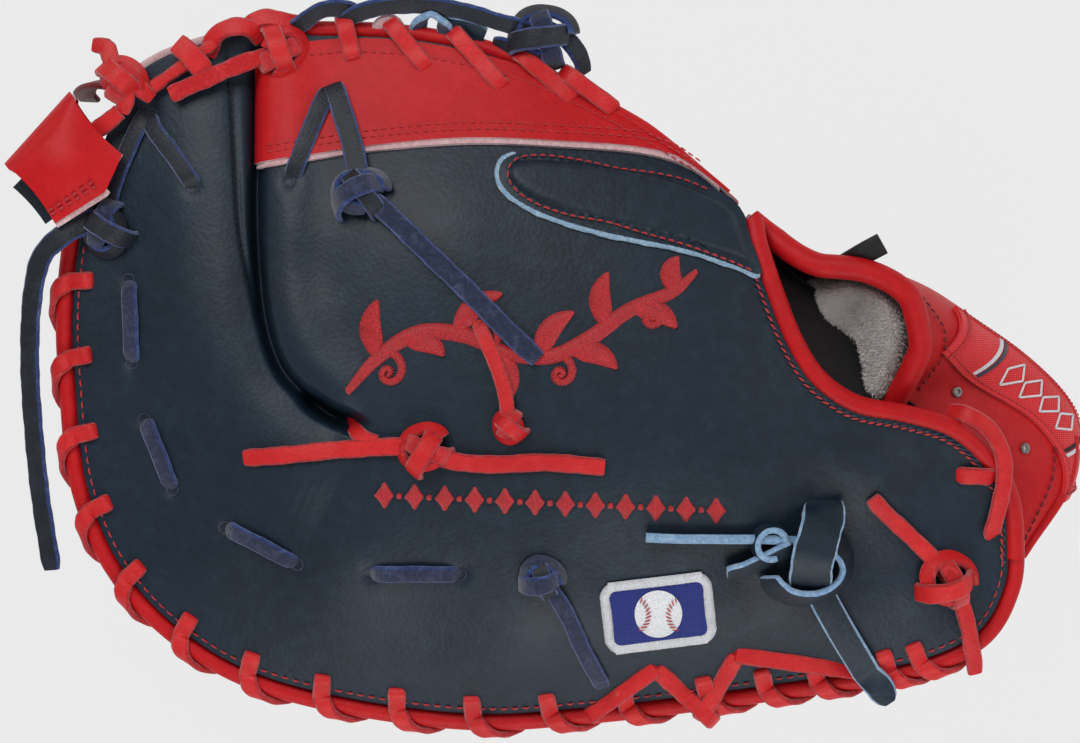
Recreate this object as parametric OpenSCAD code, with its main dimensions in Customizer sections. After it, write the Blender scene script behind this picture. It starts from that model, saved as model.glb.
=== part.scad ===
// First-base style baseball mitt in navy and red leather, folded shut and lying on its thumb half.
// X runs from the finger tips (-) to the wrist (+), Y from the open rims (-) to the spine (+),
// Z up from the table.

/* [Node] */
// piece to draw, or all of them

/* [Mitt] */
// length over all, finger tips to wrist strap
mitt_l = 330; // [300:1:345]
// height of the finger back's crown above the table
crown_h = 116; // [112:0.5:120]
// thickness of the shell leather
leather_t = 2.6; // [2:0.1:2.8]
// depth of the dish in each palm
dish = 12; // [8:0.5:13]
// depth of the crease across the finger back
crease_d = 8; // [4:0.5:10]

/* [Laces and edges] */
// width of the rawhide lace
lace_w = 5.5; // [4.5:0.1:6]
// thickness of the rawhide lace
lace_t = 1.6; // [1.2:0.1:1.9]
// radius of the red roll round the rim
roll_r = 2.2; // [1.8:0.1:2.4]
// wraps of lace along the finger rim
rim_wraps = 17; // [13:1:19]
// wraps of lace along the web edge
web_wraps = 5; // [4:1:6]

/* [Inside] */
// thickness of the felt palm pads
pad_t = 5; // [3:0.5:6]
// thickness of the cloth and leather liners
liner_t = 1.2; // [1:0.1:1.4]
// thickness of the sheepskin on the wrist strap at its fullest
fur_t = 12; // [6:0.5:12]

/* [Hidden] */
k = mitt_l / 330;
$fn = 32;
gap = 0.35;
rings = [0.2, 0.4, 0.6, 0.75, 0.86, 0.94, 1];
up = [0, 0, 1];
rim_drop = leather_t + 2 * roll_r - 1;
palm_rim_h = 68;
thumb_rim_h = 41;
pad_gap = 1;

// ---- outlines: each point is across, up the page and the height of the leather edge there
back_edge = [[61, 49, 100], [64, 38, 103], [69, 23, 105], [75, 8, 106], [83, -4, 105], [95, -12, 103],
    [110, -15, 100], [124, -19, 97], [134, -27, 92], [141, -38, 86], [143, -52, 81], [142, -66, 77],
    [134, -80, 74], [115, -89, 73], [85, -94, 72], [50, -99, 72], [15, -103, 72], [-20, -105, 72],
    [-60, -100, 72], [-91, -91, 73], [-114, -76, 74], [-130, -57, 75], [-139, -34, 76], [-142, -8, 77],
    [-143, 20, 78], [-139, 50, 80], [-130, 78, 82], [-118, 92, 84], [-92, 99, 86], [-60, 102, 88],
    [-34, 101, 90], [-10, 95, 92], [10, 84, 94], [30, 73, 96], [48, 60, 98]];
palm_edge = [[55, 46, 88], [75, 32, 84], [97, 14, 80], [110, -5, 77], [120, -25, 75], [127, -47, 72],
    [130, -66, 69], [124, -78, 67], [110, -85, 66], [84, -90, 66], [50, -95, 66], [15, -99, 66],
    [-20, -101, 66], [-60, -96, 66], [-90, -88, 67], [-112, -73, 68], [-127, -55, 69], [-135, -33, 70],
    [-138, -8, 71], [-139, 20, 72], [-135, 49, 74], [-127, 74, 76], [-116, 87, 78], [-91, 94, 80],
    [-60, 97, 82], [-34, 96, 84], [-10, 90, 86], [10, 79, 87], [30, 67, 88], [44, 56, 88]];
thumb_edge = [[56, 42, 26], [76, 24, 26], [98, 6, 27], [116, -8, 28], [125, -26, 30], [128, -48, 32],
    [122, -68, 34], [108, -80, 35], [80, -86, 36], [45, -90, 36], [0, -93, 36], [-46, -90, 36],
    [-82, -80, 36], [-108, -62, 36], [-124, -38, 36], [-130, -8, 36], [-130, 28, 36], [-125, 58, 35],
    [-113, 80, 33], [-88, 89, 31], [-50, 92, 29], [-16, 86, 27], [12, 73, 26], [36, 56, 26]];
// the thumb back has its own edge, lower at the wrist so that a hand goes in
thumb_back_edge = concat([[58, 42, 15], [61, 30, 8], [67, 15, 5], [77, 1, 4], [91, -11, 4], [108, -20, 5],
    [121, -32, 9],
    [128, -48, 26]], [for (i = [6:23]) thumb_edge[i]]);
middle = [15, -35];
finger_hinge = [0, 60, 56];

// ---- curves
function unit(v) = v / norm(v);
function flat(p) = [p.x, p.y];
function blend(a, b, t) = a + (b - a) * t;
function smooth(t) = let (c = min(1, max(0, t))) c * c * (3 - 2 * c);
function bend(a, b, c, d, t) =
    0.5 * (2 * b + (c - a) * t + (2 * a - 5 * b + 4 * c - d) * t * t + (3 * b - a - 3 * c + d) * t * t * t);
function closed_curve(p, n) = let (m = len(p))
    [for (i = [0:m - 1]) for (j = [0:n - 1]) bend(p[(i + m - 1) % m], p[i], p[(i + 1) % m], p[(i + 2) % m],
        j / n)];
function open_curve(p, n) = let (m = len(p), q = concat([2 * p[0] - p[1]], p, [2 * p[m - 1] - p[m - 2]]))
    concat([for (i = [0:m - 2]) for (j = [0:n - 1]) bend(q[i], q[i + 1], q[i + 2], q[i + 3], j / n)],
        [p[m - 1]]);
function part_of(p, a, b) = [for (i = [a:b]) p[i % len(p)]];
function angle_at(p) = let (d = flat(p) - middle, a = atan2(d.y, d.x)) a < 0 ? a + 360 : a;

// ---- radius and edge height of an outline at an angle round the middle, from curves sampled once
function radius_table(e) = let (t = [for (p = e) [angle_at(p), norm(flat(p) - middle)]]) wrapped(t);
function height_table(e) = let (t = [for (p = e) [angle_at(p), p.z]]) wrapped(t);
function wrapped(t) = concat([for (r = t) [r[0] - 360, r[1]]], t, [for (r = t) [r[0] + 360, r[1]]]);
back_line = closed_curve(back_edge, 2);
palm_line = closed_curve(palm_edge, 2);
thumb_line = closed_curve(thumb_edge, 2);
back_r = radius_table(back_line);
back_z = height_table(back_line);
palm_r = radius_table(palm_line);
palm_z = height_table(palm_line);
thumb_back_line = closed_curve(thumb_back_edge, 2);
thumb_r = radius_table(thumb_line);
thumb_back_r = radius_table(thumb_back_line);
thumb_back_z = height_table(thumb_back_line);
thumb_z = height_table(thumb_line);

// ---- how far out a point is: 0 in the middle, 1 on the outline
function reach(p, table) = norm(flat(p) - middle) / lookup(angle_at(p), table);

// ---- distance from a point to a line of points
function to_piece(p, a, b) = let (d = b - a,
    t = min(1, max(0, ((p - a) * d) / (d * d)))) norm(p - a - d * t);
function to_line(p, l) = min([for (i = [0:len(l) - 2]) to_piece(p, l[i], l[i + 1])]);

// ---- the crease between the outer panel and the centre panel, deep at the web and dying out in the middle
crease_line = [[-95, 104], [-93, 77], [-90, 52], [-87, 31], [-82, 12], [-72, -3], [-60, -10], [-46, -14]];
function crease(p) = let (q = flat(p), fade = smooth((q.y + 28) / 26) * smooth((-34 - q.x) / 24))
    crease_d * fade * exp(-pow(to_line(q, crease_line) / 7, 2));

// ---- outer surface of the finger back
function crown(p) = crown_h - 34 * pow((p.x - 10) / 165, 2) - 30 * pow((p.y - 8) / 118, 2);
function back_top(p) = let (s = min(1, reach(p, back_r)), e = lookup(angle_at(p), back_z))
    blend(e, max(e, crown(p)), pow(1 - pow(s, 4), 0.8)) - crease(p) * (1 - pow(s, 8)) + leather_t;
function back_low(p) = back_top(p) - leather_t;
function back_up(p) = unit([back_top(p - [2, 0]) - back_top(p + [2, 0]),
    back_top(p - [0, 2]) - back_top(p + [0, 2]), 4]);
function on_back(p, h) = [p.x, p.y, back_top(flat(p)) + h];

// ---- pocket side of each palm, and the outer surface of the thumb back
function palm_low(p) = let (s = min(1, reach(p, palm_r))) blend(palm_rim_h + dish,
    lookup(angle_at(p), palm_z), s * s);
function thumb_top(p) = let (s = min(1, reach(p, thumb_r))) blend(thumb_rim_h - dish,
    lookup(angle_at(p), thumb_z) + rim_drop, s * s);
function thumb_low(p) = let (s = min(1, reach(p, thumb_back_r))) lookup(angle_at(p),
    thumb_back_z) * pow(max(0, (s - 0.72) / 0.28), 1.6);

// ---- solid over a rounded region, between two heights; edges run clockwise seen from above
module skin(edge, c, top, low, steps = rings, one_face = false) {
    e = [for (i = [len(edge) - 1:-1:0]) flat(edge[i])];
    n = len(e);
    m = len(steps);
    level = [for (s = steps) for (p = e) blend(c, p, s)];
    points = concat([[c.x, c.y, top(c)]], [for (p = level) [p.x, p.y, top(p)]],
        [[c.x, c.y, low(c)]], [for (p = level) [p.x, p.y, low(p)]]);
    below = 1 + m * n;
    first = one_face ? len([for (s = steps) if (s < 0.72) s]) - 1 : 0;
    fan = [for (j = [0:n - 1]) [0, 1 + (j + 1) % n, 1 + j]];
    fan_low = one_face ? [[for (j = [0:n - 1]) below + 1 + first * n + j]]
        : [for (j = [0:n - 1]) [below, below + 1 + j, below + 1 + (j + 1) % n]];
    tops = [for (i = [0:m - 2]) for (j = [0:n - 1]) let (a = 1 + i * n + j, b = 1 + i * n + (j + 1) % n)
        each [[a, b, b + n], [a, b + n, a + n]]];
    lows = [for (i = [first:m - 2]) for (j = [0:n - 1])
        let (a = below + 1 + i * n + j, b = below + 1 + i * n + (j + 1) % n) each [[a, b + n, b],
            [a, a + n, b + n]]];
    wall = [for (j = [0:n - 1]) let (a = 1 + (m - 1) * n + j, b = 1 + (m - 1) * n + (j + 1) % n)
        each [[a, b, below + b], [a, below + b, below + a]]];
    polyhedron(points = points, faces = concat(fan, fan_low, tops, lows, wall));
}

// ---- solid swept along a line; the section's first direction is across, its second is outward
module sweep(path, outs, section) {
    m = len(path);
    n = len(section);
    function along(i) = unit(path[min(m - 1, i + 1)] - path[max(0, i - 1)]);
    function out_at(i) = is_list(outs[0]) ? outs[i] : outs;
    function across(i) = unit(cross(out_at(i), along(i)));
    points = [for (i = [0:m - 1]) let (w = across(i), h = cross(along(i), w))
        for (q = section) path[i] + w * q.x + h * q.y];
    sides = [for (i = [0:m - 2]) for (j = [0:n - 1]) let (a = i * n + j, b = i * n + (j + 1) % n)
        each [[a, a + n, b + n], [a, b + n, b]]];
    ends = [[for (j = [0:n - 1]) j], [for (j = [n - 1:-1:0]) (m - 1) * n + j]];
    polyhedron(points = points, faces = concat(sides, ends));
}
function band(w, t) = [[-w / 2, -t / 4], [-w / 2 + t / 4, -t / 2], [w / 2 - t / 4, -t / 2], [w / 2, -t / 4],
    [w / 2, t / 4], [w / 2 - t / 4, t / 2], [-w / 2 + t / 4, t / 2], [-w / 2, t / 4]];
function round_section(r, n = 8) = [for (i = [0:n - 1]) r * [cos(i * 360 / n), sin(i * 360 / n)]];

// ---- flat lace lying on the finger back
module back_lace(route, w = lace_w, t = lace_t, h = 0.5, steps = 4) {
    path = [for (p = open_curve(route, steps)) on_back(p, h + t / 2)];
    sweep(path, [for (p = path) back_up(flat(p))], band(w, t));
}

// ---- overhand knot: a rounded barrel across the lace
module knot(at, heading, long = 9, wide = 13, tall = 7) {
    d = [cos(heading), sin(heading), 0] * long / 2;
    shape = [for (i = [0:9]) [wide / 2 * cos(i * 36), tall / 2 * sin(i * 36)]];
    sizes = [0.55, 0.9, 1, 0.9, 0.55];
    points = [for (i = [0:4]) for (q = shape) at + d * (i / 2 - 1) + sizes[i] * ([-sin(heading),
        cos(heading), 0] * q.x + up * q.y)];
    sides = [for (i = [0:3]) for (j = [0:9]) let (a = i * 10 + j,
        b = i * 10 + (j + 1) % 10) each [[a, a + 10, b + 10], [a, b + 10, b]]];
    polyhedron(points = points, faces = concat(sides, [[for (j = [0:9]) j], [for (j = [9:-1:0]) 40 + j]]));
}
module back_knot(p, heading, long = 9, wide = 13, tall = 7) knot(on_back(p, tall / 2 + 2.8), heading, long,
    wide, tall);

// ---- sheet over a grid of points, thickened towards its inside by a depth that may vary
function grid_out(g, i, j) = let (a = g[min(len(g) - 1, i + 1)][j] - g[max(0, i - 1)][j],
    b = g[i][min(len(g[0]) - 1, j + 1)] - g[i][max(0, j - 1)]) unit(cross(a, b));
function shifted(g, d) = [for (i = [0:len(g) - 1]) [for (j = [0:len(g[0]) - 1]) g[i][j] + grid_out(g, i,
    j) * d(i / (len(g) - 1), j / (len(g[0]) - 1))]];
module sheet(g, outer, inner) {
    top = shifted(g, outer);
    low = shifted(g, inner);
    m = len(g);
    n = len(g[0]);
    points = concat([for (r = top) each r], [for (r = low) each r]);
    o = m * n;
    cells = [for (i = [0:m - 2]) for (j = [0:n - 2]) i * n + j];
    tops = [for (a = cells) each [[a, a + 1, a + n + 1], [a, a + n + 1, a + n]]];
    lows = [for (a = cells) each [[o + a, o + a + n + 1, o + a + 1], [o + a, o + a + n, o + a + n + 1]]];
    rim = concat([for (j = [0:n - 2]) j], [for (i = [0:m - 2]) i * n + n - 1],
        [for (j = [n - 1:-1:1]) (m - 1) * n + j], [for (i = [m - 1:-1:1]) i * n]);
    q = len(rim);
    wall = [for (i = [0:q - 1]) let (a = rim[i], b = rim[(i + 1) % q]) each [[a, o + b, b],
        [a, o + a, o + b]]];
    polyhedron(points = points, faces = concat(tops, lows, wall));
}

// ---- a line that runs a set distance outside an outline
function outward(line, i) = let (a = line[(i + len(line) - 1) % len(line)], b = line[(i + 1) % len(line)],
    d = flat(b - a))
    unit([-d.y, d.x, 0]);
function beside(line, a, b, out,
    h) = [for (i = [a:b]) let (j = i % len(line)) line[j] + outward(line, j) * out + up * h];
function at_share(line, x) = let (i = floor(x)) blend(line[i % len(line)], line[(i + 1) % len(line)],
    x - i);

// ---- one wrap of lace over an edge roll, leaning along the edge, from the surface above it to the one below
module wrap(line, x, above, below, lean, roll_z, inset = 5) {
    e = at_share(line, x);
    o = outward(line, floor(x) % len(line));
    side = cross(up, o) * lean;
    r = roll_r + 2 * gap + lace_t / 2;
    c = e + o * (roll_r + 0.8) + up * roll_z;
    turn = [for (i = [0:6]) let (a = 90 - i * 30) c + (o * cos(a) + up * sin(a)) * r + side * (0.5 - i / 6)];
    first = e - o * inset + side * 0.9;
    second = e - o * inset * 0.35 + side * 0.7;
    last = e - o * inset * 0.8 - side * 0.9;
    lift = lace_t / 2 + 2.3;
    clear = 0.9;
    path = concat([[first.x, first.y, above(first) + lift],
        [second.x, second.y, above(second) + lift + 0.5]], turn,
        [[last.x, last.y, below(last) - lift - clear]]);
    outs = concat([unit(up + o), unit(up + o)],
        [for (p = turn) p - c - side * ((p - c) * side) / (side * side)], [-up]);
    sweep(path, outs, band(lace_w * 0.85, lace_t));
}

// ---- number of the sample where each run of the back outline starts and ends
heel_start = 20;
rim_start = 22;
rim_end = 52;
web_start = 54;
web_end = 69;

// ================= thumb half =================
navy = [0.13, 0.17, 0.22];
red = [0.8, 0.13, 0.15];
felt = [0.75, 0.72, 0.66];
black = [0.08, 0.08, 0.09];
indigo = [0.2, 0.22, 0.36];

module thumb_back_shell() color(navy)
    skin(thumb_back_line, middle, function(p) thumb_low(p) + leather_t, function(p) thumb_low(p),
        one_face = true);
module thumb_palm_shell() color(navy)
    skin(thumb_line, middle, function(p) thumb_top(p), function(p) thumb_top(p) - leather_t);
module inner_skin(line, share, top, low) color(felt) // felt pads and stall linings
    skin([for (p = line) concat(blend(middle, flat(p), share), [0])], middle, top, low,
        [0.3, 0.6, 0.85, 1]);
module thumb_palm_pad() inner_skin(closed_curve(thumb_edge, 1), 0.74,
    function(p) thumb_top(p) - leather_t - pad_gap, function(p) thumb_top(p) - leather_t - pad_gap - pad_t);
module thumb_stall_liner() inner_skin(closed_curve(thumb_edge, 1), 0.7,
    function(p) thumb_top(p) - leather_t - 1.5 * pad_gap - pad_t,
    function(p) thumb_top(p) - leather_t - 1.5 * pad_gap - pad_t - liner_t);
module thumb_rim_roll() color(red)
    sweep(beside(thumb_line, 10, 36, roll_r + 1, leather_t + roll_r - 0.5), up, round_section(roll_r));
module thumb_rim_lace() color(red)
    for (i = [0:12]) wrap(thumb_line, 13 + i * 1.9, function(p) thumb_top(p), function(p) thumb_low(p), 5,
        leather_t + roll_r - 0.5);
module thumb_loop() color(black) translate([30, -22, 0])
    sweep([for (a = [0:20:180]) [0, 14 * cos(a), 4 + 6.5 * sin(a)]],
        [for (a = [0:20:180]) [0, cos(a), 0.6 * sin(a)]], band(10, 1.4));
module heel_pad() color(felt)
    skin([for (a = [0:-24:-340]) [108 + 7 * cos(a), -52 + 14 * sin(a)]], [108, -52],
        function(p) thumb_top(p) - leather_t - pad_gap,
        function(p) thumb_top(p) - leather_t - pad_gap - 4, [0.5, 1]);

// ================= finger half =================
module finger_back_shell() color(navy) skin(back_line, middle, function(p) back_top(p),
    function(p) back_low(p));
module on_back_patch(edge, c, t, h = gap, steps = [0.35, 0.7, 1]) skin(edge, c,
    function(p) back_top(p) + h + t, function(p) back_top(p) + h, steps);
module strip_patch(lower, upper, h, t, rows) {
    g = [for (i = [0:len(lower) - 1]) [for (j = [0:rows]) let (q = blend(lower[i], upper[i],
        j / rows)) on_back(q, h)]];
    sheet(g, function(u, v) t, function(u, v) 0);
}
module web_side_panel() color(red) {
    lower = open_curve([[-83, 65], [-60, 67], [-21, 70], [6, 69], [31, 66], [46, 60], [56, 50]], 2);
    upper = open_curve([[-83, 95], [-60, 97], [-34, 97], [-12, 91], [8, 81], [27, 71], [50, 54]], 2);
    strip_patch(lower, upper, 1.8, 1.6, 6);
}
module index_finger_pad() color(navy) {
    lower = open_curve([[-12.5, 59], [-8, 52], [4, 45], [21, 40], [43, 35.5], [62, 29.5]], 2);
    upper = open_curve([[-11.5, 62.5], [-5, 64], [7, 63.5], [25, 61.5], [43, 55], [53, 48.5]], 2);
    strip_patch(lower, upper, 0.9, 1.3, 3);
}
module finger_palm_shell() color(navy)
    skin(palm_line, middle, function(p) palm_low(p) + leather_t, function(p) palm_low(p));
module finger_palm_pad() inner_skin(closed_curve(palm_edge, 1), 0.74,
    function(p) palm_low(p) + leather_t + pad_gap + pad_t, function(p) palm_low(p) + leather_t + pad_gap);
module finger_stall_liner() inner_skin(closed_curve(palm_edge, 1), 0.7,
    function(p) palm_low(p) + leather_t + 1.5 * pad_gap + pad_t + liner_t,
    function(p) palm_low(p) + leather_t + 1.5 * pad_gap + pad_t);
module finger_rim_roll() color(red)
    sweep(beside(back_line, heel_start, rim_end, roll_r + 0.8, -roll_r + 0.3), up, round_section(roll_r));
module finger_rim_lace() color(red)
    for (i = [0:rim_wraps - 1])
        wrap(back_line, rim_start + (rim_end - rim_start - 4) * i / (rim_wraps - 1),
            function(p) back_top(p), function(p) palm_low(p), 6, 0.3 - roll_r);
module web_edge_roll() color(red)
    sweep(beside(back_line, web_start, web_end, roll_r + 0.8, 0.6), up, round_section(roll_r));
module web_edge_lace() color(red)
    for (i = [0:web_wraps - 1])
        wrap(back_line, web_start + 4.6 + (web_end - web_start - 7) * i / (web_wraps - 1),
            function(p) back_top(p) + 2, function(p) back_low(p), -7, 0.6);
module opening_roll() color(red)
    sweep(beside(back_line, 1, heel_start - 2, roll_r + 0.8, 1.2), up, round_section(roll_r));
module running_lace() color(indigo)
    for (d = [[-125, 27, -124.5, 3], [-120, -15, -112, -35.5], [-95.5, -48, -74, -58.5],
        [-51.5, -61.5, -24.5, -61.5]])
        back_lace([[d[0], d[1]], [(d[0] + d[2]) / 2, (d[1] + d[3]) / 2], [d[2], d[3]]], 4.5, 1.4, 0.45, 2);
module little_finger_loop() color(black) translate([20, -58, 0])
    sweep([for (a = [0:20:180]) [0, 11 * cos(a), 91.5 + 7 * sin(a)]],
        [for (a = [0:20:180]) [0, cos(a), 0.8 * sin(a)]], band(10, 1.4));

// badge: a plain oblong of cloth with a stitched border
badge_at = [35.5, -73];
badge_l = 33;
badge_w = 20;
function badge_corner(x, y, r, s) = [for (i = [0:3]) let (a = i * 30) [x, y] + r * [sx(s, a), sy(s, a)]];
function sx(s, a) = s == 0 || s == 3 ? (s == 0 ? sin(a) : -cos(a)) : (s == 1 ? cos(a) : -sin(a));
function sy(s, a) = s == 0 || s == 3 ? (s == 0 ? cos(a) : sin(a)) : (s == 1 ? -sin(a) : -cos(a));
function badge_edge(l, w, r) = [for (p = concat(badge_corner(l / 2 - r, w / 2 - r, r, 0),
    badge_corner(l / 2 - r, r - w / 2, r, 1),
    badge_corner(r - l / 2, r - w / 2, r, 2), badge_corner(r - l / 2, w / 2 - r, r, 3)))
    badge_at + [p.x * cos(7) - p.y * sin(7), p.x * sin(7) + p.y * cos(7)]];
module badge_field() color(indigo) on_back_patch(badge_edge(badge_l - 5, badge_w - 5, 2), badge_at, 0.9);
module badge_border() color([0.95, 0.95, 0.95]) {
    line = [for (p = badge_edge(badge_l - 2.4, badge_w - 2.4, 2.6)) on_back(p, 1.4)];
    sweep(line, up, round_section(0.9, 6));
}
module embroidered_scroll() color(red) {
    back_lace([[-55, 0], [-45, 12], [-32, 16], [-24, 8], [-30, -2], [-16, 3], [-2, 12], [10, 15], [20, 8],
        [30, 12], [42, 23]], 4, 1, 0.4, 3);
}
module embroidered_band() color(red)
    for (i = [0:8]) on_back_patch([for (a = [90:-90:-180]) [-47 + i * 12.5 + 4 * cos(a),
        -38 - i * 0.35 + 2.6 * sin(a)]], [-47 + i * 12.5, -38 - i * 0.35], 0.8, gap, [1]);

// knots and their tails on the finger back
module crotch_knot() color(red) back_knot([-34, -23], -20, 10, 14, 8);
module crotch_lace_tails() color(red) {
    back_lace([[-40.5, -22.5], [-60, -24], [-88, -26]], 5, 1.6, 2.6);
    back_lace([[-27.5, -27], [-8, -28.5], [19, -28.5]], 5, 1.6, 2.6);
}
module small_red_knot() color(red) {
    back_knot([-9, -18], 70, 8, 9, 5);
    back_lace([[-8, -12], [-11, 0], [-17, 12]], 4.5, 1.4, 1.9);
}
module web_back_knot() color(indigo) back_knot([-54, 54], -40, 11, 15, 7);
module web_back_tail() color(indigo) back_lace([[-48, 49], [-36, 38], [-18, 20], [0, 4]], 6, 1.5, 2.4);
module web_back_lace() color(navy) {
    back_lace([[-77, 58], [-71, 70], [-65, 82], [-64, 87]], 5, 1.4, 4.2);
    back_lace([[-58.5, 87], [-56, 78], [-54, 62]], 5, 1.4, 4.2);
}
module tip_lace() color(indigo) {
    back_lace([[-133, 52], [-128, 62], [-122, 72], [-118, 79]], 5, 1.4, 0.8);
    back_lace([[-112, 77], [-108, 66], [-104, 57]], 5, 1.4, 0.8);
}
module tip_knot() color(indigo) back_knot([-135, 42], 80, 12, 13, 7);
module hanging_tail() color(navy) {
    route = open_curve([[-146, 36, 86.5], [-152.5, 30, 83], [-155.5, 10, 78], [-155, -14, 73],
        [-152.5, -38, 70], [-149.8, -60, 67]], 5);
    sweep(route, [-0.5, 0, 1], band(6.6, 1.6));
}
module small_navy_knot() color(indigo) back_knot([1, -61.5], -50, 9, 12, 7);
module small_navy_tail() color(indigo) back_lace([[4.5, -66], [11, -79], [17, -93]], 5, 1.5, 2.2, 5);
module thong_bow() color(navy) back_knot([80, -60], -60, 14, 22, 9);
module thong_tails() color(navy) {
    back_lace([[70, -55.5], [55, -51], [33, -49]], 4.5, 1.6, 1.6);
    back_lace([[85, -67.5], [94, -80], [99, -87]], 8.5, 1.8, 4, 5);
}
module heel_knot() color(red) back_knot([123.5, -64], -60, 11, 14, 8);
module heel_lace_tails() color(red) {
    back_lace([[120, -57], [112, -48], [102, -39]], 5.5, 1.6, 2.4);
    back_lace([[127.5, -71.5], [130.5, -77]], 5.5, 1.6, 2.4);
}
module wrist_lace() color(red) {
    back_lace([[128, -32.5], [132, -33.5], [136, -35]], 5, 1.5, 0.6, 2);
    back_lace([[138, -41], [138.5, -50], [139, -57]], 5, 1.5, 0.6, 2);
}

// ================= web =================
web_run = [[-118, 85], [-92, 93], [-60, 96.5], [-34, 96], [-8, 89], [14, 76], [34, 63], [50, 50]];
web_h = 30;
module web_panel() color(navy) {
    line = open_curve(web_run, 3);
    g = [for (i = [0:len(line) - 1]) let (d = line[min(len(line) - 1, i + 1)] - line[max(0, i - 1)],
        o = unit([-d.y, d.x]))
        [for (j = [-3:3]) let (q = line[i] + o * 4 * (1 - pow(j / 3, 2))) [q.x, q.y,
            finger_hinge.z + j / 3 * web_h / 2]]];
    sheet(g, function(u, v) 0, function(u, v) 3);
}
module web_end_strap() color(red) {
    fold = [[-162.5, 63], [-144.5, 84]];
    free = [[-146.5, 46], [-128.5, 68]];
    g = [for (i = [0:4]) let (a = blend(fold[0], fold[1], i / 4), b = blend(free[0], free[1], i / 4),
        d = b - a)
        concat([for (v = [1, 0.66, 0.33]) let (q = a + d * v) [q.x, q.y, 92 + 3 * v]],
            [for (t = [90:-30:-90]) let (q = a + d * 0.15 * (1 - cos(t))) [q.x, q.y, 86 + 6 * sin(t)]],
            [for (v = [0.3, 0.5]) let (q = a + d * v) [q.x, q.y, 80]])];
    sheet(g, function(u, v) 0, function(u, v) -2);
}
module web_top_lace() color(indigo)
    for (i = [0:3])
        sweep([for (a = [150:-30:30]) [-50 + i * 15 - 8 * cos(a), 106 + 4.5 * sin(a) - i * i * 0.8,
            96 + i * 1.2]], [0, 0.3, 1], band(5, 1.5));
module web_inner_loop() color([0.45, 0.06, 0.1])
    sweep([for (a = [200:-20:20]) [-131 + 8 * cos(a), 84 + 0.3 * a / 20, 58 + 9 * sin(a)]], [0, -1, 0.2],
        band(7, 1.6));
module web_red_knots() color(red) knot([-127, 90, 96], 30, 10, 12, 8);
module web_suede_tail() color([0.8, 0.25, 0.25])
    sweep([[-111.5, 85, 96], [-106, 88, 97.5], [-99, 91, 98.5], [-91, 93.5, 99]], [0, 0.2, 1],
        band(5, 1.5));

// ================= wrist strap =================
strap_top = [[67, 47, 93], [75, 41, 95], [85, 37, 97], [98, 35.5, 98], [110, 27, 98], [116, 16, 97],
    [116, 5, 94], [115, -6, 88], [126, -14, 82], [140, -27, 75], [150, -44, 68]];
strap_mid = [[70, 47, 60], [80, 41, 60], [92, 37, 60], [106, 32, 58], [122, 24, 57], [138, 13, 56],
    [150, 3, 56], [159, -7, 55], [162, -20, 54], [160, -33, 53], [154, -45, 53]];
strap_low = [[70, 42, 30], [80, 36, 29], [92, 31, 28], [105, 24, 27], [118, 15, 26], [131, 5, 26],
    [141, -4, 26], [147, -14, 27], [149, -25, 28], [148, -36, 30], [146, -46, 32]];
strap_rows = 7;
function strap_point(t, m, l, v) = t * (1 - v) * (1 - 2 * v) + m * 4 * v * (1 - v) + l * v * (2 * v - 1);
function strap_grid(a, b, v0, v1, rows, n) = let (t = part_of(open_curve(strap_top, n), a, b),
    m = part_of(open_curve(strap_mid, n), a, b),
    l = part_of(open_curve(strap_low, n), a, b))
    [for (i = [0:len(t) - 1]) [for (j = [0:rows]) strap_point(t[i], m[i], l[i], blend(v0, v1, j / rows))]];
module wrist_strap() color(red) sheet(strap_grid(0, 20, 0, 1, strap_rows, 2), function(u, v) 0,
    function(u, v) -leather_t);
module strap_roll() color(red)
    sweep([for (p = part_of(open_curve(strap_top, 2), 0, 14)) p + up * (roll_r + 1.2)], [-0.5, -0.5, 1],
        round_section(roll_r));
module strap_fur() color(felt)
    sheet(strap_grid(3, 13, 0.04, 0.55, 5, 2), function(u, v) -leather_t - 0.5,
        function(u, v) -leather_t - 2 - (fur_t - 2) * sin(180 * min(1, max(0, v))) * sin(180 * min(1,
            max(0, u))));
// place on the strap: u along it, 0 to 10, and v down it, 0 to 1
function on_line(p, u) = let (c = open_curve(p, 2), x = min(2 * u, len(c) - 1.001),
    i = floor(x)) blend(c[i], c[i + 1], x - i);
function strap_at(u, v) = strap_point(on_line(strap_top, u), on_line(strap_mid, u), on_line(strap_low, u),
    v);
// the label slants across the strap, from the lip to the widest part
function label_at(s, t) = strap_at(5.6 + 3.6 * s - (1.1 - 0.7 * s) * t,
    0.06 + 0.37 * s + (0.2 + 0.13 * s) * t);
module strap_label() color([0.75, 0.1, 0.12])
    sheet([for (s = [0:8]) [for (t = [0:3]) label_at(s / 8, t / 3)]], function(u, v) 1.9,
        function(u, v) 0.5);
module strap_eyelets() color([0.55, 0.55, 0.55])
    for (at = [[7.05, 0.11], [8.5, 0.19]]) let (p = strap_at(at[0], at[1]))
        translate(p + [1.5, 1.5, 1.8]) rotate([-30, 30, 0]) cylinder(h = 0.8, r = 1.4);
module strap_tab() color(black)
    sweep([[90, 36.5, 108], [98, 39, 108.5], [106, 41.5, 109]], [0, 0, 1], band(5.5, 1.5));

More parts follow.
